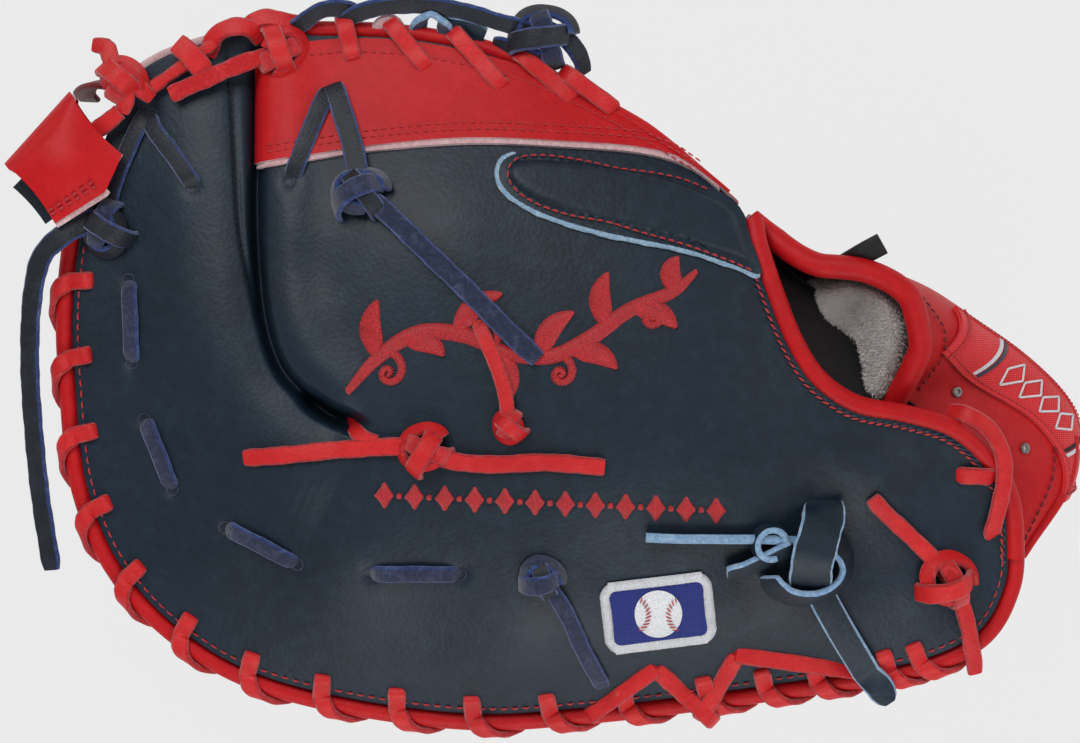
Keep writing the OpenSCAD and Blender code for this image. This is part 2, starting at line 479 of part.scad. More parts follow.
scale(k) thumb_back_shell();
scale(k) thumb_palm_shell();
scale(k) thumb_palm_pad();
scale(k) thumb_stall_liner();
scale(k) thumb_rim_roll();
scale(k) thumb_rim_lace();
scale(k) thumb_loop();
scale(k) heel_pad();
scale(k) finger_back_shell();
scale(k) web_side_panel();
scale(k) index_finger_pad();
scale(k) finger_palm_shell();
scale(k) finger_palm_pad();
scale(k) finger_stall_liner();
scale(k) finger_rim_roll();
scale(k) finger_rim_lace();
scale(k) web_edge_roll();
scale(k) web_edge_lace();
scale(k) opening_roll();
scale(k) running_lace();
scale(k) little_finger_loop();
scale(k) badge_border();
scale(k) badge_field();
scale(k) embroidered_scroll();
scale(k) embroidered_band();
scale(k) crotch_knot();
scale(k) crotch_lace_tails();
scale(k) small_red_knot();
scale(k) web_back_knot();
scale(k) web_back_tail();
scale(k) web_back_lace();
scale(k) tip_lace();
scale(k) tip_knot();
scale(k) hanging_tail();
scale(k) small_navy_knot();
scale(k) small_navy_tail();
scale(k) thong_bow();
scale(k) thong_tails();
scale(k) heel_knot();
scale(k) heel_lace_tails();
scale(k) wrist_lace();
scale(k) web_panel();
scale(k) web_end_strap();
scale(k) web_top_lace();
scale(k) web_inner_loop();
scale(k) web_red_knots();
scale(k) web_suede_tail();
scale(k) wrist_strap();
scale(k) strap_roll();
scale(k) strap_fur();
scale(k) strap_label();
scale(k) strap_eyelets();
scale(k) strap_tab();
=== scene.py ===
# First-base style mitt in navy and red leather, folded shut, seen from above on a pale floor.
# Lengths are in millimetres in the frame of the part; MM turns them into metres when a mesh is made.
import math

import bpy
import numpy as np
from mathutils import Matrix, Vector


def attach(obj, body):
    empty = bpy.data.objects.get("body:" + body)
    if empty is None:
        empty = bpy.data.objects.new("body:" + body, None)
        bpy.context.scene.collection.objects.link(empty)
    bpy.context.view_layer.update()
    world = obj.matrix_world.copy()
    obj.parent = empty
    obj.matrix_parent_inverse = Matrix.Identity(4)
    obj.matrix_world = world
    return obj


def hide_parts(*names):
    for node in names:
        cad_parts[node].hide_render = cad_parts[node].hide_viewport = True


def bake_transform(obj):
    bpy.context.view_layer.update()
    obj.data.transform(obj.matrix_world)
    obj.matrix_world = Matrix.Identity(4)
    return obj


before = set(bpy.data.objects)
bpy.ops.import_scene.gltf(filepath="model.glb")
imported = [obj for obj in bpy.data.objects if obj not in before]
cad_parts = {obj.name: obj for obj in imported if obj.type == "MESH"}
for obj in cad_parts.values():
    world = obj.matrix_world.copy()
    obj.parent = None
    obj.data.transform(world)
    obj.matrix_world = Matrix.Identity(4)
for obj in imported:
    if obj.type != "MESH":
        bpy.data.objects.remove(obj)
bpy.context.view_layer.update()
MM = 0.001
UP = np.array([0.0, 0.0, 1.0])
chance = np.random.default_rng(7)

# ---- driving sizes
LEATHER_T = 2.6
LACE_W = 5.4
LACE_T = 1.7
ROLL_R = 2.9
ROLL_OUT = 2.4
THUMB_ROLL_R = 2.4
THUMB_ROLL_OUT = 2.8
THUMB_ROLL_Z = LEATHER_T + 1.7
CROWN_H = 116.0
DISH = 12.0
PALM_RIM_H = 68.0
THUMB_RIM_H = 41.0
CREASE_D = 13.0
HINGE_Z = 56.0
FUR_BASE_Z = 66
PAD_T = 5
MIDDLE = np.array([15.0, -35.0])
OUTLINE_N = 12

# ---- where each outline of the back turns from one kind of edge into the next, counted in its points
OPENING_RUN = (0.4, 10.4)
RIM_RUN = (10, 25.6)
BARE_RUN = (26.4, 28.6)
WEB_EDGE_RUN = (28.6, 34.6)

# ---- view: how wide the picture is at the height of the back, and the lens that takes it from far away
VIEW_W = 330.48
VIEW_Z = 80
LENS = 240
SENSOR = 36

# ---- the four bodies of the part
FINGER, THUMB, WEB, STRAP = "finger_half", "thumb_half", "web", "wrist_strap"


# ================= curves and outlines =================
def unit(v):
    v = np.asarray(v, float)
    return v / np.maximum(np.linalg.norm(v, axis=-1, keepdims=True), 1e-12)


def smooth(t):
    t = np.clip(t, 0, 1)
    return t * t * (3 - 2 * t)


def bend(a, b, c, d, t):
    return 0.5 * (2 * b + (c - a) * t + (2 * a - 5 * b + 4 * c - d) * t * t
                  + (3 * b - a - 3 * c + d) * t**3)


def closed_curve(points, n):
    p = np.asarray(points, float)
    m = len(p)
    return np.array([bend(p[i - 1], p[i], p[(i + 1) % m], p[(i + 2) % m], j / n) for i in range(m)
                     for j in range(n)])


def open_curve(points, n):
    p = np.asarray(points, float)
    q = np.vstack([2 * p[0] - p[1], p, 2 * p[-1] - p[-2]])
    line = [bend(q[i], q[i + 1], q[i + 2], q[i + 3], j / n) for i in range(len(p) - 1) for j in range(n)]
    return np.array(line + [p[-1]])


def spaced(line, step):
    """The same line with points at an even step."""
    d = run_of(line)
    n = max(2, int(round(d[-1] / step)) + 1)
    return resampled(line, n)


def resampled(line, n):
    d = run_of(line)
    at = np.linspace(0, d[-1], n)
    return np.stack([np.interp(at, d, line[:, k]) for k in range(line.shape[1])], 1)


def run_of(line):
    """Distance along a line at each of its points."""
    return np.r_[0, np.cumsum(np.linalg.norm(np.diff(line, axis=0), axis=1))]


def length_of(line):
    return float(np.linalg.norm(np.diff(line, axis=0), axis=1).sum())


def circle(n, closed=False):
    """Points of a unit circle, the first one repeated when it is closed."""
    a = np.linspace(0, 2 * math.pi, n) if closed else np.arange(n) * 2 * math.pi / n
    return np.column_stack([np.cos(a), np.sin(a)])


# each point is across, up the page and the height of the leather's edge there
BACK_EDGE = [
    (61, 49, 100), (64, 38, 103), (69, 23, 105), (75, 8, 106), (83, -4, 105), (95, -12, 103),
    (110, -15, 100),
    (124, -19, 97), (134, -27, 92), (141, -38, 86), (143, -52, 81), (142, -66, 77), (134, -80, 74),
    (115, -89, 73), (85, -94, 72), (50, -99, 72), (15, -103, 72), (-20, -105, 72), (-60, -100, 72),
    (-91, -91, 73), (-114, -76, 74), (-130, -57, 75), (-139, -34, 76), (-142, -8, 77), (-143, 20, 78),
    (-139, 50, 80), (-130, 78, 82), (-120, 93, 84), (-94, 102, 86), (-60, 103, 88), (-34, 101, 90),
    (-10, 95, 92), (10, 84, 94), (30, 73, 96), (48, 60, 98)]
PALM_EDGE = [
    (55, 46, 88), (75, 32, 84), (97, 14, 80), (110, -5, 77), (120, -25, 75), (127, -47, 72), (130, -66, 69),
    (124, -78, 67), (110, -85, 66), (84, -90, 66), (50, -95, 66), (15, -99, 66), (-20, -101, 66),
    (-60, -96, 66), (-90, -88, 67), (-112, -73, 68), (-127, -55, 69), (-135, -33, 70), (-138, -8, 71),
    (-139, 20, 72), (-135, 49, 74), (-127, 74, 76), (-116, 87, 78), (-91, 94, 80), (-60, 97, 82),
    (-34, 96, 84), (-10, 90, 86), (10, 79, 87), (30, 67, 88), (44, 56, 88)]
THUMB_EDGE = [
    (56, 42, 26), (76, 24, 26), (98, 6, 27), (116, -8, 28), (125, -26, 30), (128, -48, 32), (122, -68, 34),
    (108, -80, 35), (80, -86, 36), (45, -90, 36), (0, -93, 36), (-46, -90, 36), (-82, -80, 36),
    (-108, -62, 36), (-124, -38, 36), (-130, -8, 36), (-130, 28, 36), (-125, 58, 35), (-113, 80, 33),
    (-88, 89, 31), (-50, 92, 29), (-16, 86, 27), (12, 73, 26), (36, 56, 26)]
THUMB_LIP = [(58, 42, 15), (61, 30, 8), (67, 15, 5), (77, 1, 4), (91, -11, 4), (108, -20, 5), (121, -32, 9),
             (128, -48, 26)]


class Outline:
    """An outline that is one distance from the middle at each angle, with the height of its edge."""

    def __init__(self, points):
        self.line = closed_curve(points, OUTLINE_N)
        d = self.line[:, :2] - MIDDLE
        a = np.arctan2(d[:, 1], d[:, 0])
        order = np.argsort(a)
        self.a, self.r, self.z = a[order], np.linalg.norm(d, axis=1)[order], self.line[:, 2][order]

    def at(self, x, y):
        """How far out a point is, 0 to 1, and the edge's height at its angle."""
        dx, dy = x - MIDDLE[0], y - MIDDLE[1]
        a = np.arctan2(dy, dx)
        r = np.interp(a, self.a, self.r, period=2 * math.pi)
        z = np.interp(a, self.a, self.z, period=2 * math.pi)
        return np.clip(np.hypot(dx, dy) / r, 0, 1), z

    def ring(self, angles, share):
        r = np.interp(angles, self.a, self.r, period=2 * math.pi) * share
        return MIDDLE[0] + r * np.cos(angles), MIDDLE[1] + r * np.sin(angles)


back = Outline(BACK_EDGE)
palm = Outline(PALM_EDGE)
thumb = Outline(THUMB_EDGE)
thumb_back = Outline(THUMB_LIP + THUMB_EDGE[6:])

# the slit beside the web panel, the sewn seam to its left, and the gap that its lower end leaves
SLIT = open_curve([(-86.5, 107), (-86, 90), (-86, 68), (-86, 44), (-84, 19), (-79.5, 3), (-72.5, -6),
                   (-64, -13), (-53, -18)], 6)
SEAM = open_curve([(-95, 103), (-94, 90), (-92.5, 66), (-91, 44), (-88, 27), (-84.5, 12)], 6)
GAP = open_curve([(-73, -6), (-66, -11), (-58, -15), (-51, -18.5)], 6)


def off_line(x, y, line):
    """Signed distance from a line, positive to its left as it runs, and the share along it."""
    p = np.stack([x, y], -1)[..., None, :]
    a, b = line[:-1], line[1:]
    d = b - a
    t = np.clip(((p - a) * d).sum(-1) / (d * d).sum(-1), 0, 1)
    gap = p - a - d * t[..., None]
    dist = np.linalg.norm(gap, axis=-1)
    k = dist.argmin(-1)
    pick = np.take_along_axis
    near = pick(dist, k[..., None], -1)[..., 0]
    g = pick(gap, k[..., None, None], -2)[..., 0, :]
    dd = d[k]
    side = np.sign(dd[..., 0] * g[..., 1] - dd[..., 1] * g[..., 0])
    along = (k + pick(t, k[..., None], -1)[..., 0]) / (len(line) - 1)
    return near * np.where(side == 0, 1, side), along


# ends of each stretch of running lace
DASHES = [((-125.4, 28), (-124.4, 2.5)), ((-120.6, -14.5), (-112, -36)), ((-95.8, -47.4), (-73.6, -58.6)),
          ((-51.8, -61.4), (-24, -61.4))]
# dents and swells of worn leather: across, up the page, how wide and how deep
SOFT_DENTS = [(84, -42, 13, 2.6), (62, -62, 12, 2.2), (104, -30, 12, -2.4), (98, -58, 13, 2.2),
              (-36, -78, 20, 1.6),
              (-62, -62, 16, -1.8), (-5, -86, 22, -1.6), (22, -58, 16, 2.0), (-108, -20, 20, 1.6),
              (-118, 60, 14, -1.6),
              (-30, 42, 20, -2.0), (-70, 30, 12, 1.2), (120, -68, 12, -1.8), (45, -14, 24, -1.4),
              (-100, -55, 18, -1.6)]
# lace holes that pucker the leather
HOLES = [end for dash_ends in DASHES for end in dash_ends] + [(-76, 57.5), (-105.5, 56), (-118.5, 78.5)]


def crown(x, y):
    return CROWN_H - 34 * ((x - 10) / 165) ** 2 - 30 * ((y - 8) / 118) ** 2


def back_top(x, y):
    """Outer surface of the finger back."""
    x, y = np.asarray(x, float), np.asarray(y, float)
    s, e = back.at(x, y)
    z = e + (np.maximum(e, crown(x, y)) - e) * (1 - s**4) ** 0.8
    d, along = off_line(x, y, SLIT)
    fade = smooth((1.0 - along) / 0.12)
    left = 0.72 * np.exp(-((d / 1.7) ** 2)) + 0.28 * np.exp(-((d / 7.5) ** 2))
    wall = np.where(d > 0, np.exp(-((d / 1.7) ** 2)), left)
    keep = fade * (1 - s**14)
    z = z - CREASE_D * wall * keep
    z = z + 2.6 * np.exp(-(((d - 9) / 8) ** 2)) * keep + 2.2 * np.exp(-(((d + 22) / 12) ** 2)) * keep
    e, along = off_line(x, y, SEAM)
    z = z - 0.9 * np.exp(-((e / 0.8) ** 2)) * smooth((1 - along) / 0.1)
    g, along = off_line(x, y, GAP)
    z = z - 7.5 * np.exp(-((g / 3.0) ** 4)) * smooth(along / 0.25) * smooth((1 - along) / 0.3)
    for hx, hy, wide, deep in SOFT_DENTS:
        z = z - deep * np.exp(-(((x - hx) ** 2 + (y - hy) ** 2) / wide**2)) * (1 - s**10)
    for hx, hy in HOLES:
        z = z - 1.1 * np.exp(-(((x - hx) ** 2 + (y - hy) ** 2) / 6.5))
    return z + LEATHER_T


def back_up(x, y):
    dx = (back_top(x + 1.5, y) - back_top(x - 1.5, y)) / 3
    dy = (back_top(x, y + 1.5) - back_top(x, y - 1.5)) / 3
    return unit(np.stack([-dx, -dy, np.ones_like(dx)], -1))


def on_back(points, lift=0.0):
    """Points on the finger back, lifted along its outward direction."""
    p = np.asarray(points, float)[:, :2]
    up = back_up(p[:, 0], p[:, 1])
    base = np.column_stack([p, back_top(p[:, 0], p[:, 1])])
    return base + up * (np.asarray(lift, float).reshape(-1, 1) if np.ndim(lift) else lift), up


def palm_low(x, y):
    s, e = palm.at(x, y)
    return PALM_RIM_H + DISH + (e - PALM_RIM_H - DISH) * s * s


def thumb_top(x, y):
    s, e = thumb.at(x, y)
    rim_drop = LEATHER_T + 2 * 2.2 - 1
    return THUMB_RIM_H - DISH + (e + rim_drop - THUMB_RIM_H + DISH) * s * s


def thumb_low(x, y):
    s, e = thumb_back.at(x, y)
    return e * np.maximum(0, (s - 0.72) / 0.28) ** 1.6


# ================= mesh building =================
class Pile:
    """Gathers pieces of mesh that become one object."""

    def __init__(self):
        self.v, self.f, self.m, self.uv, self.n = [], [], [], [], 0

    def add(self, verts, faces, mats=0, uv=None):
        verts = np.asarray(verts, float)
        self.v.append(verts)
        self.f += [tuple(int(i) + self.n for i in f) for f in faces]
        self.m += [mats] * len(faces) if np.isscalar(mats) else list(mats)
        self.uv.append(np.zeros((len(verts), 2)) if uv is None else np.asarray(uv, float))
        self.n += len(verts)
        return self

    def make(self, name, materials, stands_for=(), slot=None, body=FINGER, sharp=40):
        mesh = bpy.data.meshes.new(name)
        verts = np.vstack(self.v) * MM
        mesh.from_pydata(verts.tolist(), [], self.f)
        for m in materials:
            mesh.materials.append(m)
        mesh.polygons.foreach_set("material_index", np.array(self.m, np.int32))
        layer = mesh.uv_layers.new(name="along")
        uv = np.vstack(self.uv)
        loops = np.zeros(len(mesh.loops), np.int32)
        mesh.loops.foreach_get("vertex_index", loops)
        layer.data.foreach_set("uv", uv[loops].astype(np.float32).ravel())
        mesh.polygons.foreach_set("use_smooth", np.ones(len(mesh.polygons), bool))
        mesh.validate()
        mesh.update()
        if sharp:
            mesh.set_sharp_from_angle(angle=math.radians(sharp))
        o = bpy.data.objects.new(name, mesh)
        bpy.context.scene.collection.objects.link(o)
        if body:
            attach(o, body)
        if stands_for:
            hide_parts(*([stands_for] if isinstance(stands_for, str) else stands_for))
        return o


def grid_faces(m, n, wrap=False):
    out = []
    for i in range(m - 1):
        for j in range(n if wrap else n - 1):
            k = (j + 1) % n
            out.append((i * n + j, i * n + k, (i + 1) * n + k, (i + 1) * n + j))
    return out


def disc_faces(rings, n):
    """Faces of a disc: a middle point, then rings of n points from the inside out."""
    fan = [(0, 1 + j, 1 + (j + 1) % n) for j in range(n)]
    return fan + [tuple(1 + i for i in f[::-1]) for f in grid_faces(rings, n, wrap=True)]


def disc_points(middle, line, shares):
    """A middle point and rings of points between it and the line round it."""
    return np.vstack([[middle]] + [middle + (line - middle) * k for k in shares])


def frames(path, outs):
    along = unit(np.gradient(path, axis=0))
    outs = np.broadcast_to(np.asarray(outs, float), path.shape)
    across = unit(np.cross(outs, along))
    return across, np.cross(along, across)


def sweep(path, outs, section, scale=None):
    """Points and faces of a section carried along a line; uv is across and along in millimetres."""
    path = np.asarray(path, float)
    across, out = frames(path, outs)
    sec = np.asarray(section, float)
    s = np.ones((len(path), 2)) if scale is None else np.asarray(scale, float).reshape(len(path),
            -1) * np.ones(2)
    v = (path[:, None] + across[:, None] * (sec[:, 0][None, :, None] * s[:, 0][:, None, None])
         + out[:, None] * (sec[:, 1][None, :, None] * s[:, 1][:, None, None]))
    n = len(sec)
    caps = [tuple(range(n))[::-1], tuple((len(path) - 1) * n + k for k in range(n))]
    faces = grid_faces(len(path), n, wrap=True) + caps
    uv = np.stack(np.meshgrid(run_of(sec), run_of(path)), -1).reshape(-1, 2)
    return v.reshape(-1, 3), faces, uv


def lace_section(w, t):
    """A flat lace's section with soft corners: 5 points on top, 5 below, and one more at each side."""
    c = 0.32 * t
    xs = np.array([-w / 2 + c, -w / 4, 0, w / 4, w / 2 - c])
    dome = 0.12
    rise = dome * t * (1 - (2 * xs / w) ** 2)
    low = [(x, -t / 2 - 0.4 * r) for x, r in zip(xs, rise)]
    high = [(x, t / 2 + r) for x, r in zip(xs[::-1], rise[::-1])]
    return low + [(w / 2, -t / 2 + c), (w / 2, t / 2 - c)] + high + [(-w / 2, t / 2 - c),
            (-w / 2, -t / 2 + c)]


# material of each side of that section, low, edge, high and edge, and the same with the lace turned over
LACE_SIDES = [1] * 4 + [2] * 3 + [0] * 4 + [2] * 3
TURNED_SIDES = [0] * 4 + [2] * 3 + [1] * 4 + [2] * 3


def add_lace(pile, path, outs, w=LACE_W, t=LACE_T, flip=False, ends=None, wave=0.0):
    """A flat lace: material 0 grain, 1 suede, 2 cut edges. flip turns the suede side out."""
    path = np.asarray(path, float)
    run = run_of(path)
    width = np.ones(len(path))
    if wave:
        width = width + wave * np.sin(run * 0.55 + path[0, 0]) + wave * 0.6 * np.sin(run * 1.3 + path[0, 1])
    if ends is not None:
        for at, size in ((0, ends[0]), (-1, ends[1])):
            d = np.abs(run - run[at]) / w
            width = width * np.where(d < 0.5, size + (1 - size) * np.sqrt(np.clip(2 * d, 0, 1)), 1)
    v, f, uv = sweep(path, outs, lace_section(w, t), np.column_stack([width, np.ones(len(path))]))
    pile.add(v, f, (TURNED_SIDES if flip else LACE_SIDES) * (len(path) - 1) + [2, 2], uv)


def round_section(r, n=14):
    return r * circle(n)


def add_tube(pile, path, r, mat=0, n=12, scale=None, outs=UP):
    v, f, uv = sweep(path, outs, round_section(r, n), scale)
    pile.add(v, f, mat, uv)


def add_stitches(pile, line, ups, step=3.0, long=2.3, r=0.33, mat=0, slant=0.0):
    """Short raised threads along a line, their ends pulled down into the leather."""
    pts = spaced(np.hstack([line, np.broadcast_to(ups, line.shape)]), step)
    p, u = pts[:, :3], unit(pts[:, 3:])
    t = unit(np.gradient(p, axis=0))
    if slant:
        side = np.cross(u, t)
        t = unit(t + side * slant)
    k = np.linspace(-0.5, 0.5, 5)
    sink = 0.05
    for q, d, up in zip(p, t, u):
        mid = q + d * k[:, None] * long + up * (r * 1.2 * (1 - (2 * k[:, None]) ** 2) - sink)
        v, f, uv = sweep(mid, up, round_section(r, 6), [0.45, 0.95, 1, 0.95, 0.45])
        pile.add(v, f, mat, uv)


def surface_patch(lower, upper, rows, lift, thick):
    """Top and underside of a leather patch on the finger back, between two lines."""
    share = np.linspace(0, 1, rows)[:, None, None]
    flat = lower[None] * (1 - share) + upper[None] * share
    pts, ups = (a.reshape(rows, len(lower), 3) for a in on_back(flat.reshape(-1, 2)))
    return pts + ups * (lift + thick), pts + ups * (lift - 0.6)


def add_sheet(pile, top, low, mat=0, edge_mat=0):
    """Two grids of points closed round their rim, the top one with a small chamfer."""
    m, n = top.shape[:2]
    o, bevel = m * n, 0.35
    faces = grid_faces(m, n)
    under = [tuple(o + i for i in f[::-1]) for f in faces]
    rim = list(range(n)) + [i * n + n - 1 for i in range(1, m)]
    rim += [(m - 1) * n + j for j in range(n - 2, -1, -1)] + [i * n for i in range(m - 2, 0, -1)]
    top_v, low_v = top.reshape(-1, 3), low.reshape(-1, 3)
    v = np.vstack([top_v, low_v, top_v[rim] * (1 - bevel) + low_v[rim] * bevel])
    base, q = 2 * o, len(rim)
    wall = [(rim[(i + 1) % q], rim[i], base + i, base + (i + 1) % q) for i in range(q)]
    wall += [(base + (i + 1) % q, base + i, o + rim[i], o + rim[(i + 1) % q]) for i in range(q)]
    a = np.linalg.norm(np.diff(top[:, 0], axis=0), axis=1).sum()
    uv_grid = np.stack(np.meshgrid(np.arange(n), np.arange(m) * a / max(1, m - 1)), -1).reshape(-1, 2)
    uv = np.vstack([uv_grid, uv_grid, uv_grid[rim]])
    pile.add(v, faces + under + wall, [mat] * (2 * len(faces)) + [edge_mat] * (2 * q), uv)


# ================= materials =================
def rgb(*c):
    """sRGB 0-255 to linear."""
    out = []
    for v in c:
        v /= 255
        out.append(v / 12.92 if v <= 0.04045 else ((v + 0.055) / 1.055) ** 2.4)
    return (*out, 1.0)


class Shader:
    """A short way to write a node material."""

    def __init__(self, name):
        self.mat = bpy.data.materials.new(name)
        self.mat.use_nodes = True
        self.t = self.mat.node_tree
        self.bsdf = self.t.nodes["Principled BSDF"]
        self.place = self.t.nodes.new("ShaderNodeTexCoord").outputs["Object"]
        self.uv = self.t.nodes.new("ShaderNodeTexCoord").outputs["UV"]

    def node(self, kind, **inputs):
        n = self.t.nodes.new(kind)
        for k, v in inputs.items():
            key = k.replace("_", " ")
            if key in n.inputs:
                self.put(v, n.inputs[key])
            else:
                setattr(n, k, v)
        return n

    def put(self, v, socket):
        if isinstance(v, bpy.types.NodeSocket):
            self.t.links.new(v, socket)
        else:
            socket.default_value = v

    def noise(self, scale, detail=4.0, rough=0.55, stretch=None, distortion=0.0):
        where = self.place
        if stretch:
            where = self.node("ShaderNodeMapping", Vector=where, Scale=stretch).outputs[0]
        return self.node("ShaderNodeTexNoise", Vector=where, Scale=scale, Detail=detail, Roughness=rough,
                         Distortion=distortion).outputs["Fac"]

    def cells(self, scale, feature="F1"):
        n = self.node("ShaderNodeTexVoronoi", Vector=self.place, Scale=scale)
        n.feature = feature
        return n.outputs["Distance"]

    def ramp(self, fac, *stops):
        n = self.node("ShaderNodeValToRGB", Fac=fac)
        e = n.color_ramp.elements
        while len(e) < len(stops):
            e.new(0.5)
        for el, (pos, col) in zip(e, stops):
            el.position = pos
            el.color = col if hasattr(col, "__len__") else (col, col, col, 1)
        return n.outputs["Color"]

    def mix(self, fac, a, b):
        n = self.t.nodes.new("ShaderNodeMix")
        n.data_type = "RGBA"
        self.put(fac, n.inputs[0])
        self.put(a, n.inputs[6])
        self.put(b, n.inputs[7])
        return n.outputs[2]

    def math(self, op, a, b=0.0):
        n = self.t.nodes.new("ShaderNodeMath")
        n.operation = op
        self.put(a, n.inputs[0])
        self.put(b, n.inputs[1])
        return n.outputs[0]

    def scaled(self, fac, low, high):
        n = self.node("ShaderNodeMapRange", Value=fac)
        n.inputs["To Min"].default_value = low
        n.inputs["To Max"].default_value = high
        return n.outputs[0]

    def bump(self, height, strength, distance, normal=None):
        n = self.node("ShaderNodeBump", Height=height, Strength=strength, Distance=distance)
        if normal is not None:
            self.put(normal, n.inputs["Normal"])
        return n.outputs["Normal"]

    def finish(self, colour, rough, normal=None, **fixed):
        self.put(colour, self.bsdf.inputs["Base Color"])
        self.put(rough, self.bsdf.inputs["Roughness"])
        if normal is not None:
            self.put(normal, self.bsdf.inputs["Normal"])
        for k, v in fixed.items():
            self.bsdf.inputs[k.replace("_", " ")].default_value = v
        return self.mat


def leather(name, base, dark, light, grain=760, rough=(0.4, 0.58), bump=0.35, spec=0.34):
    s = Shader(name)
    broad = s.noise(14, 3)
    fine = s.noise(210, 5, 0.6)
    colour = s.mix(s.ramp(broad, (0.32, 0.0), (0.7, 1.0)), dark, base)
    colour = s.mix(s.ramp(fine, (0.45, 0.0), (0.85, 0.55)), colour, light)
    pebbles = s.cells(grain)
    pores = s.cells(grain * 2.3, feature="SMOOTH_F1")
    wrinkles = s.noise(60, 7, 0.6, stretch=(1, 1.8, 1), distortion=0.5)
    colour = s.mix(s.scaled(pebbles, 0.0, 0.5), colour, dark)
    n = s.bump(wrinkles, bump * 0.4, 0.0011)
    n = s.bump(pebbles, bump, 0.00035, n)
    n = s.bump(pores, bump * 0.5, 0.00015, n)
    roughness = s.scaled(s.noise(60, 4), *rough)
    return s.finish(colour, roughness, n, Specular_IOR_Level=spec)


def suede(name, base, dark, light):
    s = Shader(name)
    nap = s.noise(900, 6, 0.75)
    tufts = s.noise(240, 4, 0.6, distortion=1.2)
    colour = s.mix(s.ramp(nap, (0.3, 0.0), (0.72, 1.0)), dark, base)
    colour = s.mix(s.ramp(tufts, (0.5, 0.0), (0.8, 0.6)), colour, light)
    n = s.bump(nap, 0.9, 0.0005, s.bump(tufts, 0.5, 0.0006))
    return s.finish(colour, 0.93, n, Specular_IOR_Level=0.15, Sheen_Weight=0.35)


def thread(name, base, dark):
    s = Shader(name)
    strands = s.node("ShaderNodeTexWave", Vector=s.uv, Scale=1.6, Distortion=1.5, Detail=2.0).outputs["Fac"]
    speck = s.noise(2600, 3)
    colour = s.mix(s.ramp(speck, (0.35, 0.0), (0.7, 1.0)), dark, base)
    n = s.bump(strands, 0.4, 0.0002)
    return s.finish(colour, 0.5, n, Specular_IOR_Level=0.4, Sheen_Weight=0.2)


def cloth(name, base, dark):
    s = Shader(name)
    a, b = (s.node("ShaderNodeTexWave", Vector=s.place, Scale=500, Distortion=0.6, Detail=1.0)
            for _ in "ab")
    b.bands_direction = "Y"
    weave = s.math("MULTIPLY", a.outputs["Fac"], b.outputs["Fac"])
    colour = s.mix(s.ramp(weave, (0.1, 0.0), (0.6, 1.0)), dark, base)
    return s.finish(colour, 0.75, s.bump(weave, 0.6, 0.0003), Specular_IOR_Level=0.25, Sheen_Weight=0.2)


NAVY = leather("navy_leather", rgb(20, 39, 55), rgb(14, 27, 39), rgb(38, 58, 74), rough=(0.42, 0.56),
               bump=0.2)
NAVY_EDGE = suede("navy_raw_edge", rgb(160, 190, 212), rgb(110, 140, 168), rgb(205, 222, 232))
RED = leather("red_leather", rgb(196, 18, 25), rgb(172, 11, 18), rgb(212, 36, 40), grain=900,
              rough=(0.46, 0.6), bump=0.14, spec=0.24)
RED_EDGE = suede("red_raw_edge", rgb(220, 190, 192), rgb(190, 140, 145), rgb(240, 222, 222))
RED_LACE = leather("red_lace_grain", rgb(212, 34, 36), rgb(180, 18, 24), rgb(230, 62, 60), grain=1100,
                   rough=(0.45, 0.6), bump=0.25)
RED_SUEDE = suede("red_lace_suede", rgb(212, 38, 42), rgb(168, 20, 28), rgb(235, 80, 80))
RED_CUT = suede("red_lace_edges", rgb(196, 36, 42), rgb(150, 18, 26), rgb(225, 86, 86))
NAVY_LACE = leather("navy_lace_grain", rgb(32, 36, 46), rgb(20, 23, 32), rgb(58, 64, 78), grain=1100,
                    rough=(0.45, 0.62), bump=0.3)
NAVY_SUEDE = suede("navy_lace_suede", rgb(46, 54, 82), rgb(28, 34, 56), rgb(82, 90, 122))
NAVY_CUT = suede("navy_lace_edges", rgb(50, 70, 128), rgb(30, 44, 90), rgb(92, 116, 172))
THONG_CUT = suede("thong_edges", rgb(150, 184, 214), rgb(98, 132, 172), rgb(200, 220, 236))
RED_THREAD = thread("red_thread", rgb(214, 40, 48), rgb(150, 20, 28))
WHITE_THREAD = thread("white_thread", rgb(238, 238, 240), rgb(196, 198, 204))
NAVY_THREAD = thread("navy_thread", rgb(36, 44, 74), rgb(20, 26, 48))
BLACK = leather("black_lining", rgb(20, 20, 23), rgb(10, 10, 12), rgb(38, 38, 42), grain=1300,
                rough=(0.55, 0.75), bump=0.2)
FELT = suede("felt", rgb(196, 188, 172), rgb(160, 150, 134), rgb(222, 216, 204))
MAROON = leather("maroon_lining", rgb(128, 24, 34), rgb(92, 14, 22), rgb(160, 50, 58), grain=1000)
BLUE_CLOTH = cloth("blue_cloth", rgb(44, 60, 150), rgb(26, 36, 104))
RED_CLOTH = cloth("red_woven_cloth", rgb(242, 58, 62), rgb(200, 30, 38))
FUR = suede("sheepskin", rgb(240, 235, 231), rgb(205, 197, 193), rgb(250, 248, 246))


def metal(name):
    s = Shader(name)
    scratch = s.noise(600, 5, 0.7)
    colour = s.mix(s.ramp(scratch, (0.3, 0.0), (0.7, 1.0)), rgb(108, 106, 104), rgb(170, 168, 164))
    return s.finish(colour, s.scaled(scratch, 0.3, 0.55), s.bump(scratch, 0.2, 0.0002), Metallic=0.9)


METAL = metal("eyelet_metal")
LACES_RED = [RED_LACE, RED_SUEDE, RED_CUT]
LACES_NAVY = [NAVY_LACE, NAVY_SUEDE, NAVY_CUT]
THONG_MATS = [NAVY, NAVY_SUEDE, THONG_CUT]


